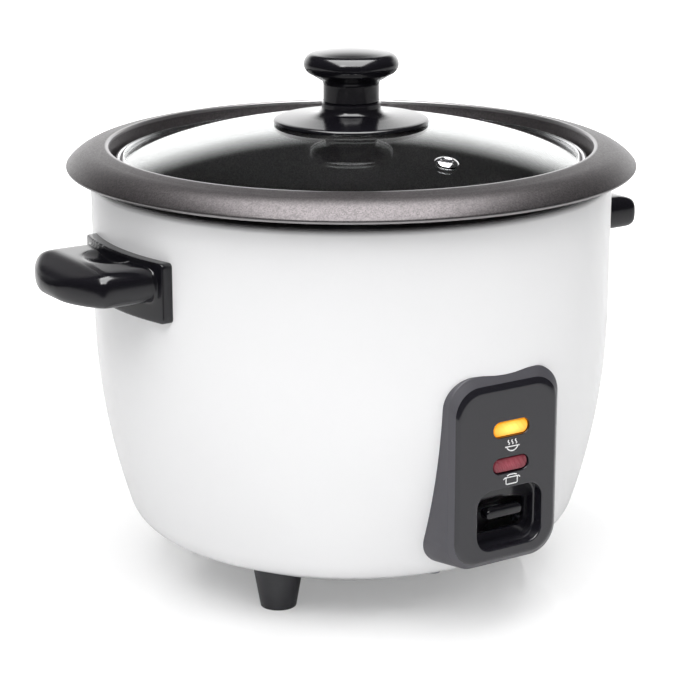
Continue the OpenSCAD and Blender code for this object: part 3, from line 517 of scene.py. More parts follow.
def near_ring(tree, place, ring_r, ring_z, full_mm, none_mm):
    """A share that is 1 within full_mm of a ring about the axis and fades to 0 at none_mm."""
    flat = add(tree, "ShaderNodeVectorMath", {0: place, 1: (1, 1, 0)}, operation="MULTIPLY")
    radius = add(tree, "ShaderNodeVectorMath", {0: flat.outputs["Vector"]}, operation="LENGTH")
    height = add(tree, "ShaderNodeSeparateXYZ", {"Vector": place})
    section = add(tree, "ShaderNodeCombineXYZ", {"X": radius.outputs["Value"], "Z": height.outputs["Z"]})
    away = add(tree, "ShaderNodeVectorMath", {0: section.outputs["Vector"], 1: (ring_r * MM, 0, ring_z * MM)},
               operation="DISTANCE")
    return ramp(tree, away.outputs["Value"], full_mm * MM, none_mm * MM, 1.0, 0.0)


# ---------------------------------------------------------------- finishes

# Baked white enamel on drawn steel: glossy and even, with a faint orange-peel ripple
white_enamel, tree, shader, place = surface("baked_white_enamel", "#F2F2F3", Roughness=0.25, IOR=1.5)
mottle(tree, shader, place, linear("#F1F1F2"), linear("#F3F3F4"), 40.0)
skin(tree, shader, place, 4.0, 1.0, 0.006)

# Dark non-stick coating with metal flake: satin and sparkling in tiny points, with a painted highlight
# on its two rolled edges: they are painted a light metal grey and made smoother
nonstick, tree, shader, place = surface("flaked_nonstick_coating", "#5A5556", Metallic=0.8, Roughness=0.38)
flakes = add(tree, "ShaderNodeTexVoronoi", {"Vector": place, "Scale": 1 / (0.5 * MM)})
grain = add(tree, "ShaderNodeSeparateColor", {"Color": flakes.outputs["Color"]})
coat = blend(tree, grain.outputs["Red"], linear("#454243"), linear("#5A5657"))
# Painted highlight: the mouth's edge and the bead under the rim are painted lighter grey
mouth_highlight = near_ring(tree, place, MOUTH_R + 0.8, RIM_TOP - 0.8, 0.85, 1.3)
bead_highlight = near_ring(tree, place, RIM_R - 0.5, BEAD_Z - 0.6, 0.5, 1.0)
edge_highlight = add(tree, "ShaderNodeMath", {0: mouth_highlight, 1: bead_highlight}, operation="MAXIMUM").outputs["Value"]
tree.links.new(blend(tree, edge_highlight, coat, linear("#8F8D8E")), shader.inputs["Base Color"])
satin = ramp(tree, grain.outputs["Green"], 0.0, 1.0, 0.34, 0.44)
polish = add(tree, "ShaderNodeMix", {0: edge_highlight, 2: satin, 3: 0.28}, data_type="FLOAT")
tree.links.new(polish.outputs[0], shader.inputs["Roughness"])
relief(tree, shader, grain.outputs["Blue"], 0.02, 0.12)

# Tempered soda-lime glass: clear and smooth, with a faint green cast in its depth
clear_glass, tree, shader, place = surface("tempered_soda_lime_glass", "#F4F8F7", Roughness=0.0, IOR=1.52)
shader.inputs["Transmission Weight"].default_value = 1.0
skin(tree, shader, place, 45.0, 0.0, 0.05, 0.2)

# Rolled and polished stainless steel, with fine lines round the lid
stainless, tree, shader, place = surface("polished_stainless_steel", "#C9C9CB", Metallic=1.0, Roughness=0.16)
lines = add(tree, "ShaderNodeTexWave", {"Vector": place, "Scale": 1 / (2.4 * MM), "Distortion": 1.5,
                                        "Detail": 2.0}, wave_type="RINGS", rings_direction="Z")
relief(tree, shader, lines.outputs["Fac"], 0.006, 0.3)
mottle(tree, shader, place, 0.12, 0.22, 14.0, at="Roughness")

# Compression-moulded phenolic: near-black and glossy, with a soft skin ripple
phenolic, tree, shader, place = surface("moulded_black_phenolic", "#121116", Roughness=0.17, IOR=1.56)
mottle(tree, shader, place, linear("#0F0E13"), linear("#151419"), 12.0)
skin(tree, shader, place, 3.0, 1.0, 0.01)

# Injection-moulded ABS with a fine satin texture: soft charcoal, no mirror gloss
charcoal, tree, shader, place = surface("satin_charcoal_abs", "#48484C", Roughness=0.42, IOR=1.5)
mottle(tree, shader, place, linear("#454549"), linear("#4B4B50"), 8.0)
skin(tree, shader, place, 0.5, 2.0, 0.02)

# Glossy black ABS, moulded in a polished tool
gloss_black, tree, shader, place = surface("polished_black_abs", "#1F1E24", Roughness=0.16, IOR=1.66)
mottle(tree, shader, place, linear("#1D1C22"), linear("#212026"), 6.0)

# The same ABS, satin, and painted lighter as a painted reflection on the panel's sides and top slope
painted_sheen_black, tree, shader, place = surface("black_abs_painted_sheen", "#4A494F", Roughness=0.46, IOR=1.58)
mottle(tree, shader, place, linear("#48474D"), linear("#4C4B51"), 6.0)
skin(tree, shader, place, 0.4, 2.0, 0.01)

# Satin black ABS of the feet
foot_finish, tree, shader, place = surface("satin_black_abs", "#2C2B2F", Roughness=0.38, IOR=1.5)
mottle(tree, shader, place, linear("#29282C"), linear("#303034"), 6.0)
skin(tree, shader, place, 0.6, 2.0, 0.02)


def ribbed_lens(name, edge_colour, centre_colour, centre_z, glow):
    """Moulded polycarbonate with fine slanting ribs inside; a lit one is brightest over its lamp."""
    made, tree, shader, place = surface(name, centre_colour, Roughness=0.2, IOR=1.58)
    lamp = (-CONTROL_X * MM, 0, -centre_z * MM)
    from_lamp = add(tree, "ShaderNodeMapping", {"Vector": place, "Location": lamp})
    away = add(tree, "ShaderNodeVectorMath", {0: from_lamp.outputs["Vector"], 1: (1.0, 0.0, 2.2)},
               operation="MULTIPLY")
    spread = add(tree, "ShaderNodeVectorMath", {0: away.outputs["Vector"]}, operation="LENGTH")
    fall = ramp(tree, spread.outputs["Value"], 0.0, LENS_W / 2 * MM)
    tint = blend(tree, fall, linear(centre_colour), linear(edge_colour))
    tree.links.new(tint, shader.inputs["Base Color"])
    if glow:
        tree.links.new(tint, shader.inputs["Emission Color"])
        shader.inputs["Emission Strength"].default_value = glow
    slant = add(tree, "ShaderNodeMapping", {"Vector": place, "Rotation": (0, math.radians(35), 0)})
    ribs = add(tree, "ShaderNodeTexWave", {"Vector": slant.outputs["Vector"], "Scale": 1 / (6.3 * MM)},
               wave_type="BANDS", bands_direction="X")
    relief(tree, shader, ribs.outputs["Fac"], 0.25, 0.5)
    return made


amber_lens = ribbed_lens("lit_amber_polycarbonate", "#E8951C", "#FFD765", WARM_Z, 0.75)
red_lens = ribbed_lens("red_polycarbonate", "#7E2F3B", "#A84553", COOK_Z, 0.0)


def spun_metal(name, colour, roughness, ring_mm):
    """Metal turned on a lathe: fine rings about the axis catch the light in bands."""
    made, tree, shader, place = surface(name, colour, Metallic=1.0, Roughness=roughness)
    mottle(tree, shader, place, roughness - 0.05, roughness + 0.07, 15.0, at="Roughness")
    rings = add(tree, "ShaderNodeTexWave",
                {"Vector": place, "Scale": 1 / (ring_mm * 6.3 * MM), "Distortion": 0.6, "Detail": 2.0},
                wave_type="RINGS", rings_direction="Z")
    relief(tree, shader, rings.outputs["Fac"], 0.02, 0.4)
    return made


spun_aluminium = spun_metal("spun_aluminium", "#C4C4C6", 0.34, 0.9)
turned_casting = spun_metal("turned_die_cast_aluminium", "#B5B5B6", 0.3, 1.2)


def plated_steel(name, colour, patch_mm, roughness):
    """Zinc-plated sheet: a grey metal with soft crystal patches of a slightly different shine."""
    made, tree, shader, place = surface(name, colour, Metallic=1.0, Roughness=roughness)
    spangle = add(tree, "ShaderNodeTexVoronoi", {"Vector": place, "Scale": 1 / (patch_mm * MM)})
    shade = add(tree, "ShaderNodeSeparateColor", {"Color": spangle.outputs["Color"]})
    shine = ramp(tree, shade.outputs["Red"], 0.0, 1.0, roughness - 0.06, roughness + 0.08)
    tree.links.new(shine, shader.inputs["Roughness"])
    skin(tree, shader, place, 0.8, 3.0, 0.01)
    return made


def plain_moulding(name, colour, roughness, metallic=0.0):
    """A small hidden piece: its colour drifts a little and its skin is faintly rough."""
    made, tree, shader, place = surface(name, colour, Roughness=roughness, Metallic=metallic)
    base = linear(colour)
    darker = tuple(c * 0.85 for c in base[:3]) + (1.0,)
    mottle(tree, shader, place, darker, base, 4.0)
    skin(tree, shader, place, 0.7, 2.0, 0.015)
    return made


slot_finish = {
    "white_enamel": white_enamel,
    "spun_aluminium": spun_aluminium,
    "zinc_plated_steel": plated_steel("zinc_plated_sheet", "#A9ABAD", 5.0, 0.36),
    "cast_aluminium": turned_casting,
    "screw_steel": plated_steel("zinc_plated_screw", "#9C9EA2", 2.0, 0.3),
    "heater_tube": plated_steel("heat_dulled_steel_tube", "#5C5B5E", 6.0, 0.45),
    "ceramic": plain_moulding("glazed_steatite", "#E8E3D3", 0.25),
    "black_phenolic": phenolic,
    "charcoal_plastic": charcoal,
    "foot_plastic": foot_finish,
    "amber_lens": amber_lens,
    "red_lens": red_lens,
    "lamp_glass": plain_moulding("frosted_lamp_glass", "#F0E4C8", 0.3),
    "white_plastic": plain_moulding("white_heatproof_nylon", "#E2E2DE", 0.4),
    "switch_plastic": plain_moulding("black_glass_filled_nylon", "#1B1B1D", 0.42),
    "brass_contact": plain_moulding("tinned_brass", "#C9A85E", 0.3, 1.0),
    "ferrite": plain_moulding("sintered_ferrite", "#3A3A3C", 0.6),
    "spring_steel": plain_moulding("bright_spring_wire", "#B4B5B9", 0.25, 1.0),
    "nonstick_metal": nonstick,
    "stainless": stainless,
    "clear_glass": clear_glass,
    "silicone": plain_moulding("white_silicone", "#CFCDC8", 0.5),
    "glass_sleeve": plain_moulding("glass_fibre_sleeving", "#DCD9CE", 0.7),
}

for node_name, piece in frame["nodes"].items():
    set_finish(piece, slot_finish[slot_of[node_name]])


# ---------------------------------------------------------------- body and liner

def shell_blank(inset=0.0):
    """The body's outer form as a solid, for fitting pieces against it."""
    outline = shell_side(inset)
    return lathe("blank", [(0, outline[0][1])] + outline[1:-1] + [(0, outline[-1][1])])


def body_shell():
    outer, inner = shell_side(0.0), shell_side(SHELL_WALL)
    shell = lathe("body_shell", outer + inner[::-1] + outer[:1], steps=192)
    # Openings behind the lamps, the recess and the inlet
    hole_back = PANEL_Y + 30
    recess_w, recess_h = RECESS_W / 2 + RECESS_PLAY, RECESS_H / 2 + RECESS_PLAY
    socket_w, socket_h = SOCKET_W / 2 + SOCKET_PLAY, SOCKET_H / 2 + SOCKET_PLAY
    cut(shell, block((CONTROL_X - LAMP_HOLE_HALF_W, PANEL_Y, COOK_Z - LAMP_HOLE_RISE),
                     (CONTROL_X + LAMP_HOLE_HALF_W, hole_back, WARM_Z + LAMP_HOLE_RISE)))
    cut(shell, block((CONTROL_X - recess_w, PANEL_Y, RECESS_Z - recess_h),
                     (CONTROL_X + recess_w, hole_back, RECESS_Z + recess_h)))
    cut(shell, block((-socket_w, 85, INLET_Z - socket_h), (socket_w, 115, INLET_Z + socket_h)))
    return soften(shell, 30)


def liner_pan():
    """The drawn pan under the pot, with its flange over the body's top edge."""
    centre = (LINER_R - LINER_CORNER_R, LINER_BOTTOM + LINER_CORNER_R)
    hole = SENSOR_BORE_R + 1.5
    outline = (
        [(hole, LINER_BOTTOM)] + arc(centre, LINER_CORNER_R, -90, 0, 14)
        + arc((LINER_R + 0.8, SHELL_TOP - 0.8 + LINER_WALL), 0.8, 180, 90, 4)
        + [(LINER_R + LINER_FLANGE, SHELL_TOP), (LINER_R + LINER_FLANGE + 0.3, SHELL_TOP + LINER_WALL / 2),
           (LINER_R + LINER_FLANGE, SHELL_TOP + LINER_WALL)]
        + arc((LINER_R + 1.2, SHELL_TOP + LINER_WALL - 2), 2.0, 90, 180, 6)
        + arc(centre, LINER_CORNER_R - LINER_WALL, 0, -90, 14)
        + [(hole, LINER_BOTTOM + LINER_WALL), (hole, LINER_BOTTOM)]
    )
    pan = lathe("liner_pan", outline)
    return soften(pan, 40)


def heater_casting():
    """The cast plate: a flat seat with a rounded rim and a bore for the sensor."""
    top = POT_Z
    outline = (
        [(SENSOR_BORE_R, HEATER_Z), (HEATER_R - 1, HEATER_Z), (HEATER_R, HEATER_Z + 1)]
        + arc((HEATER_R - 2.5, top - 2.5), 2.5, 0, 90, 6)
        + [(SENSOR_BORE_R + 1, top), (SENSOR_BORE_R, top - 1), (SENSOR_BORE_R, HEATER_Z)]
    )
    plate = lathe("heater_casting", outline)
    screw_ring = HEATER_R - 10
    for angle in (30, 150, 270):
        x, y = screw_ring * math.cos(math.radians(angle)), screw_ring * math.sin(math.radians(angle))
        cut(plate, rod((x, y, LINER_BOTTOM + LINER_WALL), (x, y, HEATER_Z + 2), 5), "UNION")
    return soften(plate, 40)


def sensor_thimble():
    """The spring-loaded cap under the pot, drawn from aluminium with a rolled edge on top."""
    top = POT_Z - 0.3
    outline = (
        [(SENSOR_R - 1, SENSOR_LOW), (SENSOR_R, SENSOR_LOW)] + arc((SENSOR_R - 1.8, top - 1.8), 1.8, 0, 90, 6)
        + [(5, top), (4.4, top - 0.5), (0, top - 0.5), (0, top - 1), (SENSOR_R - 2.6, top - 1),
           (SENSOR_R - 1, top - 2.4), (SENSOR_R - 1, SENSOR_LOW)]
    )
    cap = lathe("sensor_thimble", outline, steps=96)
    return soften(cap, 40)


stand_in(body_shell(), "body_shell", white_enamel, "outer_shell")
stand_in(liner_pan(), "liner_pan", spun_aluminium, "inner_liner")
stand_in(heater_casting(), "heater_casting", turned_casting, "heating_plate")
stand_in(sensor_thimble(), "sensor_thimble", spun_aluminium, "sensor_cap")


# ---------------------------------------------------------------- pot

def pot():
    """A spun pot: flat bottom, straight wall, a step for the lid and a wide drooping rim."""
    corner = (POT_R - POT_CORNER_R, POT_Z + POT_CORNER_R)
    rim_centre = (RIM_CENTRE_R, RIM_CENTRE_Z)
    neck, step_z = MOUTH_R + POT_WALL, LEDGE_Z - POT_WALL
    outline = (
        [(0, POT_Z)] + arc(corner, POT_CORNER_R, -90, 0, 14)
        + [(POT_R, step_z - 1.5), (POT_R + 0.5, step_z - 0.4), (POT_R + 1.6, step_z)]
        + [(neck - 1.4, step_z), (neck - 0.3, step_z + 0.5), (neck, LEDGE_Z), (neck, RIM_TOP - POT_WALL - 1.2)]
        + arc(rim_centre, RIM_ARC_R - POT_WALL, 84, 44, 12)
        + arc((RIM_R - BEAD_R, BEAD_Z), BEAD_R, -150, 45, 12)
        + arc(rim_centre, RIM_ARC_R, 42, 84, 18)
        + [(MOUTH_R + 2.6, RIM_TOP - 0.02)]
        + arc((MOUTH_R + 0.8, RIM_TOP - 0.8), 0.8, 80, 180, 6)
        + [(MOUTH_R - 0.35, LEDGE_Z + 1.2), (MOUTH_R - 0.8, LEDGE_Z + 0.3), (MOUTH_R - 1.6, LEDGE_Z)]
        + [(POT_R, LEDGE_Z), (POT_R - POT_WALL + 0.3, LEDGE_Z - 0.3), (POT_R - POT_WALL, LEDGE_Z - 1.2)]
        + arc(corner, POT_CORNER_R - POT_WALL, 0, -90, 14)
        + [(0, POT_Z + POT_WALL)]
    )
    made = lathe("cooking_pot", outline, steps=256)
    return soften(made, 50)


stand_in(pot(), "cooking_pot", nonstick, "inner_pot")


# ---------------------------------------------------------------- lid and knob

def glass_dome():
    """The bent glass with holes for the knob's screw and the vent."""
    steps, hole = 40, 2.6
    radii = [hole] + [r for r in (GLASS_R * i / steps for i in range(steps + 1)) if r > hole]
    top = [(r, dome_z(r)) for r in radii]
    under = [(r, dome_z(r, GLASS_T)) for r in reversed(radii)]
    dome = lathe("glass_dome", top + under + top[:1], steps=192)
    cut(dome, rod((0, -VENT_RING_R, CROWN_Z - 20), (0, -VENT_RING_R, CROWN_Z + 5), 3.2))
    return soften(dome, 40)


def lid_ring():
    """Steel channel rolled over the glass's edge, with two raised bands."""
    z0, seat = LEDGE_Z, dome_z(GLASS_R)
    lip = GLASS_R - 3.0
    outline = (
        [(lip - 0.4, z0 + 0.1), (RING_R - 0.5, z0 + 0.02), (RING_R, z0 + 0.5)]
        + arc((RING_R - 1.4, seat - 0.2), 1.4, 0, 100, 6)
        + [(RING_R - 2.0, seat + 0.75)]
        + arc((lip + 0.7, dome_z(lip) + 0.45), 0.65, 70, 180, 6)
        + [(lip, dome_z(lip) + 0.02), (GLASS_R + 0.15, seat + 0.02),
           (GLASS_R + 0.15, dome_z(GLASS_R, GLASS_T)), (lip - 0.4, dome_z(lip, GLASS_T) - 0.05),
           (lip - 0.4, z0 + 0.1)]
    )
    ring = lathe("lid_ring", outline, steps=192)
    return soften(ring, 50)


def vent_eyelet():
    """A rolled eyelet: a domed flange above the glass, a bore, and a clinched edge below."""
    outline = (
        [(2.0, -GLASS_T - 0.7)] + [(2.0, 0.7)] + arc((2.8, 0.7), 0.8, 180, 70, 6)
        + [(3.9, 1.25), (4.6, 0.85), (4.95, 0.4), (4.9, 0.08), (3.1, 0.08), (3.1, -GLASS_T - 0.08),
           (4.2, -GLASS_T - 0.1), (4.3, -GLASS_T - 0.5), (3.6, -GLASS_T - 0.8), (2.0, -GLASS_T - 0.7)]
    )
    eyelet = lathe("vent_eyelet", outline, steps=64)
    tilt = math.asin(VENT_RING_R / DOME_R)
    put(eyelet, moved(0, -VENT_RING_R, dome_z(VENT_RING_R)) @ Matrix.Rotation(tilt, 4, "X"))
    return soften(eyelet, 45)


def knob_disc():
    """The disc on the glass, rising gently to the collar that carries the knob."""
    edge_z = dome_z(DISC_R)
    outline = (
        [(2.6, dome_z(2.6) + 0.1)] + [(r, dome_z(r) + 0.1) for r in (10, 18, 25, DISC_R - 0.6)]
        + arc((DISC_R - 0.95, edge_z + 0.95), 0.95, -70, 80, 8)
        + [(DISC_R - 3, edge_z + 2.05), (24, CROWN_Z + 1.0), (19, CROWN_Z + 1.45), (16.2, CROWN_Z + 1.9)]
        + arc((COLLAR_R + 3.2, SEAM_Z - 2.1), 3.2, 245, 180, 7)
        + [(COLLAR_R, SEAM_Z - 0.5), (COLLAR_R - 0.5, SEAM_Z), (8.8, SEAM_Z), (8.8, SEAM_Z - 3),
           (2.6, SEAM_Z - 3), (2.6, dome_z(2.6) + 0.1)]
    )
    disc = lathe("knob_disc", outline, steps=144)
    return soften(disc, 40)


def lid_knob():
    """The mushroom knob: a plug in the collar, a stem with a fine seam, and a rounded head."""
    belly = HEAD_Z + 0.55 * KNOB_H
    crown_r = 90.0
    top = HEAD_Z + KNOB_H
    outline = (
        [(2.0, SEAM_Z - 2.9), (8.7, SEAM_Z - 2.9), (8.7, SEAM_Z + 0.1), (STEM_R - 0.4, SEAM_Z + 0.1),
         (STEM_R, SEAM_Z + 0.5), (STEM_R, HEAD_Z - 1.5)]
        + arc((STEM_R + 2.5, HEAD_Z - 1.5), 2.5, 180, 100, 6)
        + arc((KNOB_R - 4.4, belly), 4.4, -70, 80, 18)
        + arc((0, top - crown_r), crown_r, 80, 90, 8)
        + [(0, top - 2.0), (0, SEAM_Z + 11), (2.0, SEAM_Z + 11), (2.0, SEAM_Z - 2.9)]
    )
    knob = lathe("lid_knob", outline, steps=128)
    return soften(knob, 40)


stand_in(glass_dome(), "glass_dome", clear_glass, "lid_glass")
stand_in(lid_ring(), "lid_ring", stainless, "lid_rim")
stand_in(vent_eyelet(), "vent_eyelet", stainless, "vent_grommet")
stand_in(knob_disc(), "knob_disc", phenolic, "knob_base")
stand_in(lid_knob(), "lid_knob", phenolic, "knob")


# ---------------------------------------------------------------- control panel

def panel_form(inset):
    """The panel's outside, or its inside where inset is its wall."""
    front, shoulder, rear = (PANEL_Y, 0.0), (PANEL_Y + PANEL_BEVEL, PANEL_BEVEL), \
        (PANEL_Y + PANEL_DEPTH, PANEL_BEVEL + PANEL_FLARE)
    if inset:
        rings = [(y + inset, grow - inset * (0.5 if y == PANEL_Y else 1))
                 for y, grow in (front, shoulder, rear)]
    else:
        rings = (round_corner((PANEL_Y, -10), front, shoulder, PANEL_EDGE_R, 6)
                 + [(PANEL_Y + PANEL_GLOSS_DEPTH, PANEL_GLOSS_DEPTH)]
                 + round_corner(front, shoulder, rear, 0.6, 3) + [rear])
    rings = [(y, grow, -PANEL_TOP_SLOPE * max(0.0, 1 - (y - PANEL_Y) / PANEL_BEVEL)) for y, grow in rings]
    return stepped_slab(PANEL_W, PANEL_H, PANEL_CORNER, 0, PANEL_MID_Z, rings, segments=14)


def rounded_mouth(edge_r, depth, steps=()):
    """Rings of a cutter whose mouth flares by a quarter round; each step is (depth, inset)."""
    mouth = [(PANEL_Y - 1, edge_r)]
    for i in range(6):
        turn = math.radians(18 * i)
        mouth.append((PANEL_Y + edge_r * (1 - math.cos(turn)), edge_r * (1 - math.sin(turn))))
    inset = 0.0
    for at, taken in steps:
        mouth += [(PANEL_Y + at, -inset), (PANEL_Y + at + 0.25, -taken)]
        inset = taken
    return mouth + [(PANEL_Y + depth, -inset)]


def lever_opening():
    """The opening over the lever: level sill, round lower corners and an arched top."""
    width = RECESS_W - 2 * RECESS_STEP - 1.6
    y0, depth = PANEL_Y + RECESS_DEPTH - 0.5, PANEL_WALL + 1
    arch_sag = OPENING_HIGH - OPENING_SIDE
    arch_r = (width * width / 4 + arch_sag * arch_sag) / (2 * arch_sag)
    opening = slab(width, 40, 4, CONTROL_X, OPENING_LOW + 20, y0, depth)
    arch = rod((CONTROL_X, y0 - 1, OPENING_HIGH - arch_r), (CONTROL_X, y0 + depth + 1, OPENING_HIGH - arch_r),
               arch_r, vertices=160)
    cut(opening, arch, "INTERSECT")
    return opening


def control_panel():
    panel = panel_form(0)
    cut(panel, panel_form(PANEL_WALL))
    cut(panel, shell_blank(-LOOSE_FIT))
    back = RECESS_DEPTH + PANEL_WALL
    cut(panel, slab(RECESS_W + 3, RECESS_H + 3, 8, CONTROL_X, RECESS_Z, PANEL_Y + 1, back - 1), "UNION")
    cut(panel, stepped_slab(RECESS_W, RECESS_H, 6.5, CONTROL_X, RECESS_Z,
                            rounded_mouth(0.6, RECESS_DEPTH, [(RECESS_DEPTH / 2, RECESS_STEP)])))
    cut(panel, lever_opening())
    for z in (WARM_Z, COOK_Z):
        cut(panel, stepped_slab(LENS_W + 2 * LENS_GAP, LENS_H + 2 * LENS_GAP, LENS_H / 2 + LENS_GAP - 0.02,
                                CONTROL_X, z, rounded_mouth(0.25, 4)))
    modify(panel, "BEVEL", width=0.14 * MM, segments=2, limit_method="ANGLE", angle_limit=math.radians(55))
    soften(panel, 30)
    modify(panel, "WEIGHTED_NORMAL", keep_sharp=True)
    return panel


def lens(z, ribbed):
    """A long round-ended lens with a flange behind the panel's face."""
    face = PANEL_Y + 0.3
    body = stepped_slab(LENS_W, LENS_H, LENS_H / 2 - 0.02, CONTROL_X, z,
                        [(face, -0.8), (face + 0.12, -0.35), (face + 0.4, -0.08), (face + 0.8, 0.0),
                         (PANEL_Y + PANEL_WALL, 0.0)])
    if ribbed:
        pitch = 1.15
        for i in range(-7, 8):
            slot = block((-0.14, PANEL_Y - 1, -LENS_H), (0.14, face + 0.14, LENS_H))
            put(slot, moved(CONTROL_X + i * pitch, 0, z) @ turned(-24, "Y"))
            cut(body, slot)
    flange = slab(LENS_W + 3, LENS_H + 3, 2, CONTROL_X, z, PANEL_Y + PANEL_WALL, 1.0)
    cut(body, flange, "UNION")
    return soften(body, 30)


def finger_tab():
    """The lever's tip: a pad with a rounded front, a raised upper lip and a socket for the arm."""
    front = PANEL_Y + 3.4
    tab = stepped_slab(TAB_W, TAB_T, 1.9, CONTROL_X, TAB_Z,
                       [(front, -0.7), (front + 0.15, -0.35), (front + 0.5, -0.1), (front + 1.0, 0.0),
                        (front + 4.2, 0.0)])
    lip = block((CONTROL_X - TAB_W / 2 + 1.2, front + 0.8, TAB_Z + TAB_T / 2 - 0.5),
                (CONTROL_X + TAB_W / 2 - 1.2, front + 2.0, TAB_Z + TAB_T / 2 + 0.5), 0.4)
    cut(tab, lip, "UNION")
    cut(tab, block((-5, front + 2.6, TAB_Z - 0.8), (5, front + 6, TAB_Z + 0.8)))
    return soften(tab, 40)


panel = control_panel()
stand_in(panel, "control_panel", gloss_black, "control_panel")
# Painted reflection: faces on the panel's sides and top slope take the lighter copy of the black
panel.data.materials.append(painted_sheen_black)
for face in panel.data.polygons:
    x, y, z = (part / MM for part in face.center)
    beside = abs(x) > PANEL_W / 2 - PANEL_SIDE_DEPTH or abs(z - PANEL_MID_Z) > PANEL_H / 2 - PANEL_END_DEPTH
    if beside and y > PANEL_Y + PANEL_GLOSS_DEPTH:
        face.material_index = 1
stand_in(lens(WARM_Z, False), "lens_warm", amber_lens, "lens_warm")
stand_in(lens(COOK_Z, True), "lens_cook", red_lens, "lens_cook")
stand_in(finger_tab(), "lever_tab", phenolic, "lever_knob")


# ---------------------------------------------------------------- pictograms

white_print, tree, shader, place = surface("white_pad_print", "#ECECEC", Roughness=0.5)
mottle(tree, shader, place, linear("#E4E4E4"), linear("#F2F2F2"), 0.8)
PRINT_T = 0.05
PRINT_W = 0.5
MARK_X = CONTROL_X + 0.5


def printed(points, z):
    """A printed line through points, as a flat ribbon on the panel's face."""
    outline = bpy.data.curves.new("print", "CURVE")
    outline.dimensions = "3D"
    line = outline.splines.new("POLY")
    line.points.add(len(points) - 1)
    for point, (px, pz) in zip(line.points, points):
        point.co = ((MARK_X + px) * MM, 0, (z + pz) * MM, 1)
    outline.bevel_depth = PRINT_W / 2 * MM
    outline.bevel_resolution = 2
    outline.use_fill_caps = True
    mark = bpy.data.objects.new("print", outline)
    bpy.context.collection.objects.link(mark)
    only(mark)
    bpy.ops.object.convert(target="MESH")
    mark = bpy.context.object
    flat = 2 * PRINT_T / PRINT_W
    put(mark, moved(0, PANEL_Y, 0) @ Matrix.Diagonal((1, flat, 1, 1)))
    return mark


def join_marks(name, marks):
    deselect()
    for mark in marks:
        mark.select_set(True)
    bpy.context.view_layer.objects.active = marks[0]
    bpy.ops.object.join()
    piece = bpy.context.object
    piece.name = name
    piece.data.name = name
    set_finish(piece, white_print)
    soften(piece, 40)
    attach(piece, "housing")


def steam(x, low, high, swing=0.35):
    """A rising wavy line."""
    return [(x + swing * math.sin(TURN * i / 12), low + (high - low) * i / 12) for i in range(13)]


def bowl(width, depth):
    """The round underside of a bowl."""
    return [(-width / 2 + width * i / 12, -depth * math.sin(math.pi * i / 12) ** 0.6) for i in range(13)]


warm_mark_z = (WARM_Z + COOK_Z) / 2 + 0.4
join_marks("warm_mark", [
    printed(steam(offset, 0.4, 2.4), warm_mark_z) for offset in (-1.8, 0, 1.8)]
    + [printed([(-3.6, -0.4), (3.6, -0.4)], warm_mark_z), printed(bowl(5.6, 1.9), warm_mark_z - 0.4)])
join_marks("cook_mark", [printed(line, COOK_Z - 6.2) for line in (
    [(-2.8, 0.9), (-2.8, -1.6), (-2.3, -1.9), (2.3, -1.9), (2.8, -1.6), (2.8, 0.9)],
    [(-4.1, 0.3), (-3.4, 0.9), (3.4, 0.9), (4.1, 0.3)],
    [(-2.4, 1.6), (-1.2, 2.0), (1.2, 2.0), (2.4, 1.6)])])


# ---------------------------------------------------------------- handles

def grip():
    """The shelf that the fingers hold: round in plan, thinner to its tip, with a finger hollow."""
    tip = SHELL_R + GRIP_REACH - 0.2
    top, under = HANDLE_Z + GRIP_RISE + 0.4, HANDLE_Z + GRIP_RISE - GRIP_H
    root, flat_reach = SHELL_R - 1.5, SHELL_R + 0.58 * GRIP_REACH
    side = ([(root, under), (flat_reach, under)]
            + arc((tip - GRIP_NOSE_R, HANDLE_Z + 0.3), GRIP_NOSE_R, -85, 70, 14)
            + [(flat_reach, top), (root, top)])
    shelf = side_extrusion(side, GRIP_BLANK_HALF_W)
    edge = (arc((-GRIP_LOWER_EDGE_R, under + GRIP_LOWER_EDGE_R), GRIP_LOWER_EDGE_R, -90, 0, 8)
            + arc((-GRIP_UPPER_EDGE_R, top - GRIP_UPPER_EDGE_R), GRIP_UPPER_EDGE_R, 0, 90, 10))
    rounded = [(GRIP_FRONT_R + grow, z) for grow, z in edge]
    front = lathe("front", [(0, under)] + rounded + [(0, top), (0, under)], steps=160)
    put(front, moved(tip - GRIP_FRONT_R, 0, 0))
    cut(shelf, front, "INTERSECT")
    plan = stepped_slab(2 * GRIP_BLANK_HALF_L, 2 * GRIP_HALF_W, GRIP_CORNER, 0, 0,
                        [(z, grow) for grow, z in edge])
    put(plan, moved(tip - GRIP_BLANK_HALF_L, 0, 0) @ turned(90, "X"))
    cut(shelf, plan, "INTERSECT")
    blended(shelf, 0.7, 16)
    deselect()
    bpy.ops.mesh.primitive_uv_sphere_add(
        segments=96, ring_count=64, radius=MM,
        location=((SHELL_R + PLATE_T) * MM, 0, (top - HOLLOW_DEPTH + HOLLOW_R) * MM))
    scoop = bpy.context.object
    scoop.scale = (0.9 * HOLLOW_R, HOLLOW_R, HOLLOW_R)
    settle(scoop)
    cut(shelf, scoop)
    blended(shelf, 0.6, 40)
    return shelf


def side_handle():
    """A plate curved to the body, joined to its grip and blended as one moulding."""
    low, high = PLATE_LOW, PLATE_HIGH
    ring = lathe("plate", [(SHELL_R - 1.5, low), (SHELL_R + PLATE_T, low), (SHELL_R + PLATE_T, high),
                           (SHELL_R - 1.5, high), (SHELL_R - 1.5, low)], steps=240)
    half_w = (SHELL_R + PLATE_T) * math.sin(math.radians(PLATE_HALF_ANGLE))
    frame_cut = slab(2 * half_w, high - low, 1.5, 0, (low + high) / 2, 60, 90)
    put(frame_cut, turned(-90))
    cut(ring, frame_cut, "INTERSECT")
    cut(ring, grip(), "UNION")
    blended(ring, 0.48, 5)
    cut(ring, shell_blank(-FIT))
    return soften(ring, 50)


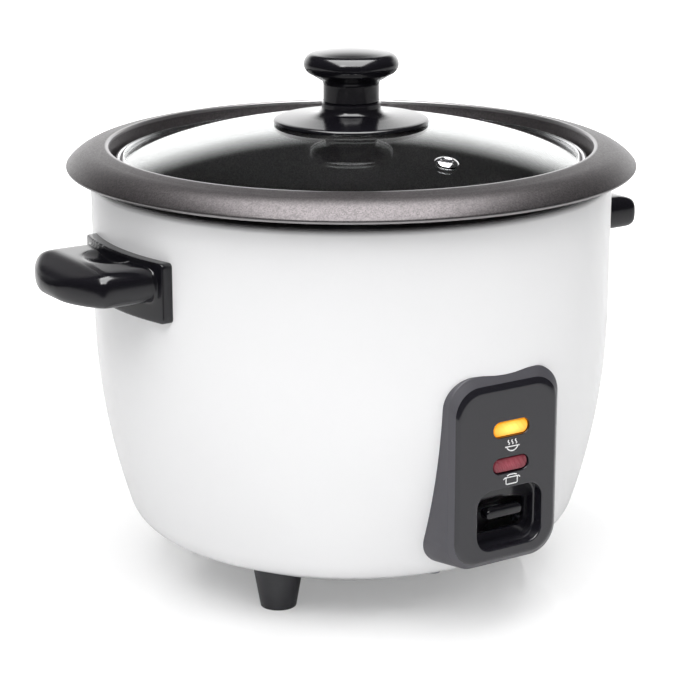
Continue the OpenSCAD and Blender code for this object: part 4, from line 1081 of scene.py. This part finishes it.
right = side_handle()
only(right)
bpy.ops.object.duplicate()
left = bpy.context.object
put(left, turned(180))
stand_in(right, "right_handle", phenolic, "right_handle")
stand_in(left, "left_handle", phenolic, "left_handle")


# ---------------------------------------------------------------- feet and inlet

def foot(angle):
    """A cone with a flat inner side, cut to fit the sloping underside."""
    deselect()
    height = 1.5 * BASE_Z
    top_r = FOOT_FLOOR_R + 1.5 * (FOOT_TOP_R - FOOT_FLOOR_R)
    bpy.ops.mesh.primitive_cone_add(
        vertices=72, radius1=FOOT_FLOOR_R * MM, radius2=top_r * MM, depth=height * MM,
        location=(0, -FOOT_RING_R * MM, height / 2 * MM))
    piece = bpy.context.object
    settle(piece)
    edit_all()
    bpy.ops.mesh.bisect(plane_co=(0, -(FOOT_RING_R - FOOT_FLOOR_R) * MM, 0), plane_no=(0, 1, 0),
                        clear_outer=True, use_fill=True)
    close(piece)
    modify(piece, "BEVEL", width=0.7 * MM, segments=3, limit_method="ANGLE", angle_limit=math.radians(40))
    cut(piece, shell_blank(-FIT))
    cut(piece, rod((0, 0, BASE_Z - 1), (0, 0, BASE_Z + 1), FOOT_RING_R))
    screw_r = FOOT_RING_R - 2.5
    cut(piece, rod((0, -screw_r, -1), (0, -screw_r, 6), 3.8))
    cut(piece, rod((0, -screw_r, -1), (0, -screw_r, 30), 1.8))
    put(piece, turned(angle))
    return soften(piece, 40)


for name, angle in (("foot_left", -60), ("foot_right", 60), ("foot_rear", 180)):
    stand_in(foot(angle), name, foot_finish, name)


def power_inlet():
    """A flanged pocket for the lead's connector, moulded to the back of the body."""
    face = shell_at(INLET_Z + INLET_H / 2) + 6
    flange = slab(INLET_W, INLET_H, 4, 0, INLET_Z, 0, 34)
    modify(flange, "BEVEL", width=1.0 * MM, segments=4, limit_method="ANGLE", angle_limit=math.radians(60))
    put(flange, moved(0, face, 0) @ turned(180))
    cut(flange, shell_blank(-FIT))
    wall = 1.2
    cut(flange, block((-SOCKET_W / 2 - wall, face - SOCKET_DEPTH - 2, INLET_Z - SOCKET_H / 2 - wall),
                      (SOCKET_W / 2 + wall, face - 1, INLET_Z + SOCKET_H / 2 + wall)), "UNION")
    pocket = slab(SOCKET_W, SOCKET_H, 2, 0, INLET_Z, 0, SOCKET_DEPTH + 1)
    put(pocket, moved(0, face + 1, 0) @ turned(180))
    cut(flange, pocket)
    return soften(flange, 40)


stand_in(power_inlet(), "power_inlet", slot_finish["switch_plastic"], "inlet_socket")


# ---------------------------------------------------------------- floor, light and camera

# The camera stands 950 mm from the axis, turned 33.4 degrees to the left of the panel's direction
CAMERA_TURN = math.radians(-33.4)
CAMERA_DISTANCE = 0.950
CAMERA_HEIGHT = 0.36541
CAMERA_PITCH = 0.2790
FOCAL_PX = 2278.84
FRAME_PX = 700

# The floor's size in metres, and how much of its own light reflections show
FLOOR_FRONT = 0.5
FLOOR_BACK = 3.0
FLOOR_WIDTH = 6.0
FLOOR_MIRRORED = 0.12

# The world's brightness: mirrored backdrop, mirrored room, and daylight from behind and from the front
BACKDROP_LEVEL = 1.9
ROOM_LEVEL = 0.04
DAYLIGHT_LEVELS = (0.47, 0.68)

# Both overhead lamps: azimuth and elevation in degrees, and size in metres
OVERHEAD = (-33, 76)
OVERHEAD_SIZE = (1.38, 2.1)
AIM_HEIGHT = 0.15


def studio():
    """A white table: its own light makes it white to the camera, and hardly shows in reflections; that light
    is weaker near the body, a painted shade round it.
    """
    floor = start_plane(1)
    floor.name = "floor"
    put(floor, Matrix.Rotation(CAMERA_TURN, 4, "Z")
        @ Matrix.Translation((0, FLOOR_BACK / 2 - FLOOR_FRONT / 2, 0))
        @ Matrix.Diagonal((FLOOR_WIDTH, FLOOR_BACK + FLOOR_FRONT, 1, 1)))
    made, tree, shader, place = surface("white_acrylic_floor", "#E6E6E6", Roughness=0.07, IOR=1.45)
    mottle(tree, shader, place, linear("#E5E5E5"), linear("#E7E7E7"), 60.0)
    seen_by = add(tree, "ShaderNodeLightPath")
    seen = add(tree, "ShaderNodeMath", {0: seen_by.outputs["Is Camera Ray"],
                                        1: seen_by.outputs["Is Transmission Ray"]}, operation="MAXIMUM")
    mirrored = add(tree, "ShaderNodeMath", {0: seen_by.outputs["Is Glossy Ray"], 1: FLOOR_MIRRORED,
                                            2: seen.outputs["Value"]}, operation="MULTIPLY_ADD")
    away = add(tree, "ShaderNodeVectorMath", {0: place}, operation="LENGTH")
    # Painted shade: the floor's own glow is weaker near the body, so the floor round it is darker
    lit = ramp(tree, away.outputs["Value"], 0.12, 0.5, 0.27, 0.9)
    glow = add(tree, "ShaderNodeMath", {0: mirrored.outputs["Value"], 1: lit}, operation="MULTIPLY")
    tree.links.new(glow.outputs["Value"], shader.inputs["Emission Strength"])
    shader.inputs["Emission Color"].default_value = (1, 1, 1, 1)
    floor.data.materials.append(made)


studio()

world = bpy.data.worlds.new("studio")
bpy.context.scene.world = world
world.use_nodes = True
sky = world.node_tree
sky.nodes.clear()
out = add(sky, "ShaderNodeOutputWorld")
ray = add(sky, "ShaderNodeLightPath")
seen = add(sky, "ShaderNodeMath", {0: ray.outputs["Is Glossy Ray"], 1: ray.outputs["Is Transmission Ray"]},
           operation="MAXIMUM")
compass = add(sky, "ShaderNodeTexCoord").outputs["Generated"]
height = add(sky, "ShaderNodeSeparateXYZ", {"Vector": compass}).outputs["Z"]
to_camera = (math.sin(CAMERA_TURN), -math.cos(CAMERA_TURN), 0)
frontness = add(sky, "ShaderNodeVectorMath", {0: compass, 1: to_camera},
                operation="DOT_PRODUCT").outputs["Value"]
# Reflections show a low white backdrop behind the object, and a dark room elsewhere
backdrop = ramp(sky, frontness, -0.92, -0.5, BACKDROP_LEVEL, 0.0)
low_part = ramp(sky, height, 0.27, 0.43, 1.0, 0.0)
mirrored = add(sky, "ShaderNodeMath", {0: backdrop, 1: low_part, 2: ROOM_LEVEL}, operation="MULTIPLY_ADD")
# Light on matt surfaces is soft, and stronger from the front than from behind
daylight = ramp(sky, frontness, -1.0, 1.0, *DAYLIGHT_LEVELS)
level = add(sky, "ShaderNodeMix", {0: seen.outputs["Value"], 2: daylight, 3: mirrored.outputs["Value"]},
            data_type="FLOAT")
shown = add(sky, "ShaderNodeMix", {0: ray.outputs["Is Camera Ray"], 2: level.outputs[0], 3: 1.0},
            data_type="FLOAT")
light = add(sky, "ShaderNodeBackground", {"Color": (1, 1, 1, 1), "Strength": shown.outputs[0]})
sky.links.new(light.outputs["Background"], out.inputs["Surface"])


def softbox(name, azimuth, elevation, distance, size, radiance, on_matt=True):
    """A soft lamp aimed at the body; azimuth 0 is the panel's side and grows to the right."""
    light = bpy.data.lights.new(name, "AREA")
    light.shape = "RECTANGLE"
    light.size, light.size_y = size
    light.energy = radiance * math.pi * size[0] * size[1]
    lamp = bpy.data.objects.new(name, light)
    bpy.context.collection.objects.link(lamp)
    lamp.visible_diffuse = on_matt
    turn, rise = math.radians(azimuth), math.radians(elevation)
    away = Vector((math.sin(turn) * math.cos(rise), -math.cos(turn) * math.cos(rise), math.sin(rise)))
    lamp.location = Vector((0, 0, AIM_HEIGHT)) + away * distance
    lamp.rotation_euler = away.to_track_quat("Z", "Y").to_euler()


softbox("overhead_softbox", *OVERHEAD, 1.3, OVERHEAD_SIZE, 2.4)
softbox("overhead_shine", *OVERHEAD, 1.31, OVERHEAD_SIZE, 5.5, on_matt=False)
softbox("left_strip", -57, 40, 1.5, (0.25, 0.5), 5.0)

lens_data = bpy.data.cameras.new("camera")
lens_data.sensor_width = 36.0
lens_data.lens = FOCAL_PX / FRAME_PX * lens_data.sensor_width
lens_data.shift_x = -0.0017
lens_data.clip_start = 0.05
camera = bpy.data.objects.new("camera", lens_data)
bpy.context.collection.objects.link(camera)
camera.location = (CAMERA_DISTANCE * to_camera[0], CAMERA_DISTANCE * to_camera[1], CAMERA_HEIGHT)
camera.rotation_euler = (math.pi / 2 - CAMERA_PITCH, 0, CAMERA_TURN)
bpy.context.scene.camera = camera
bpy.context.scene.view_settings.view_transform = "Standard"
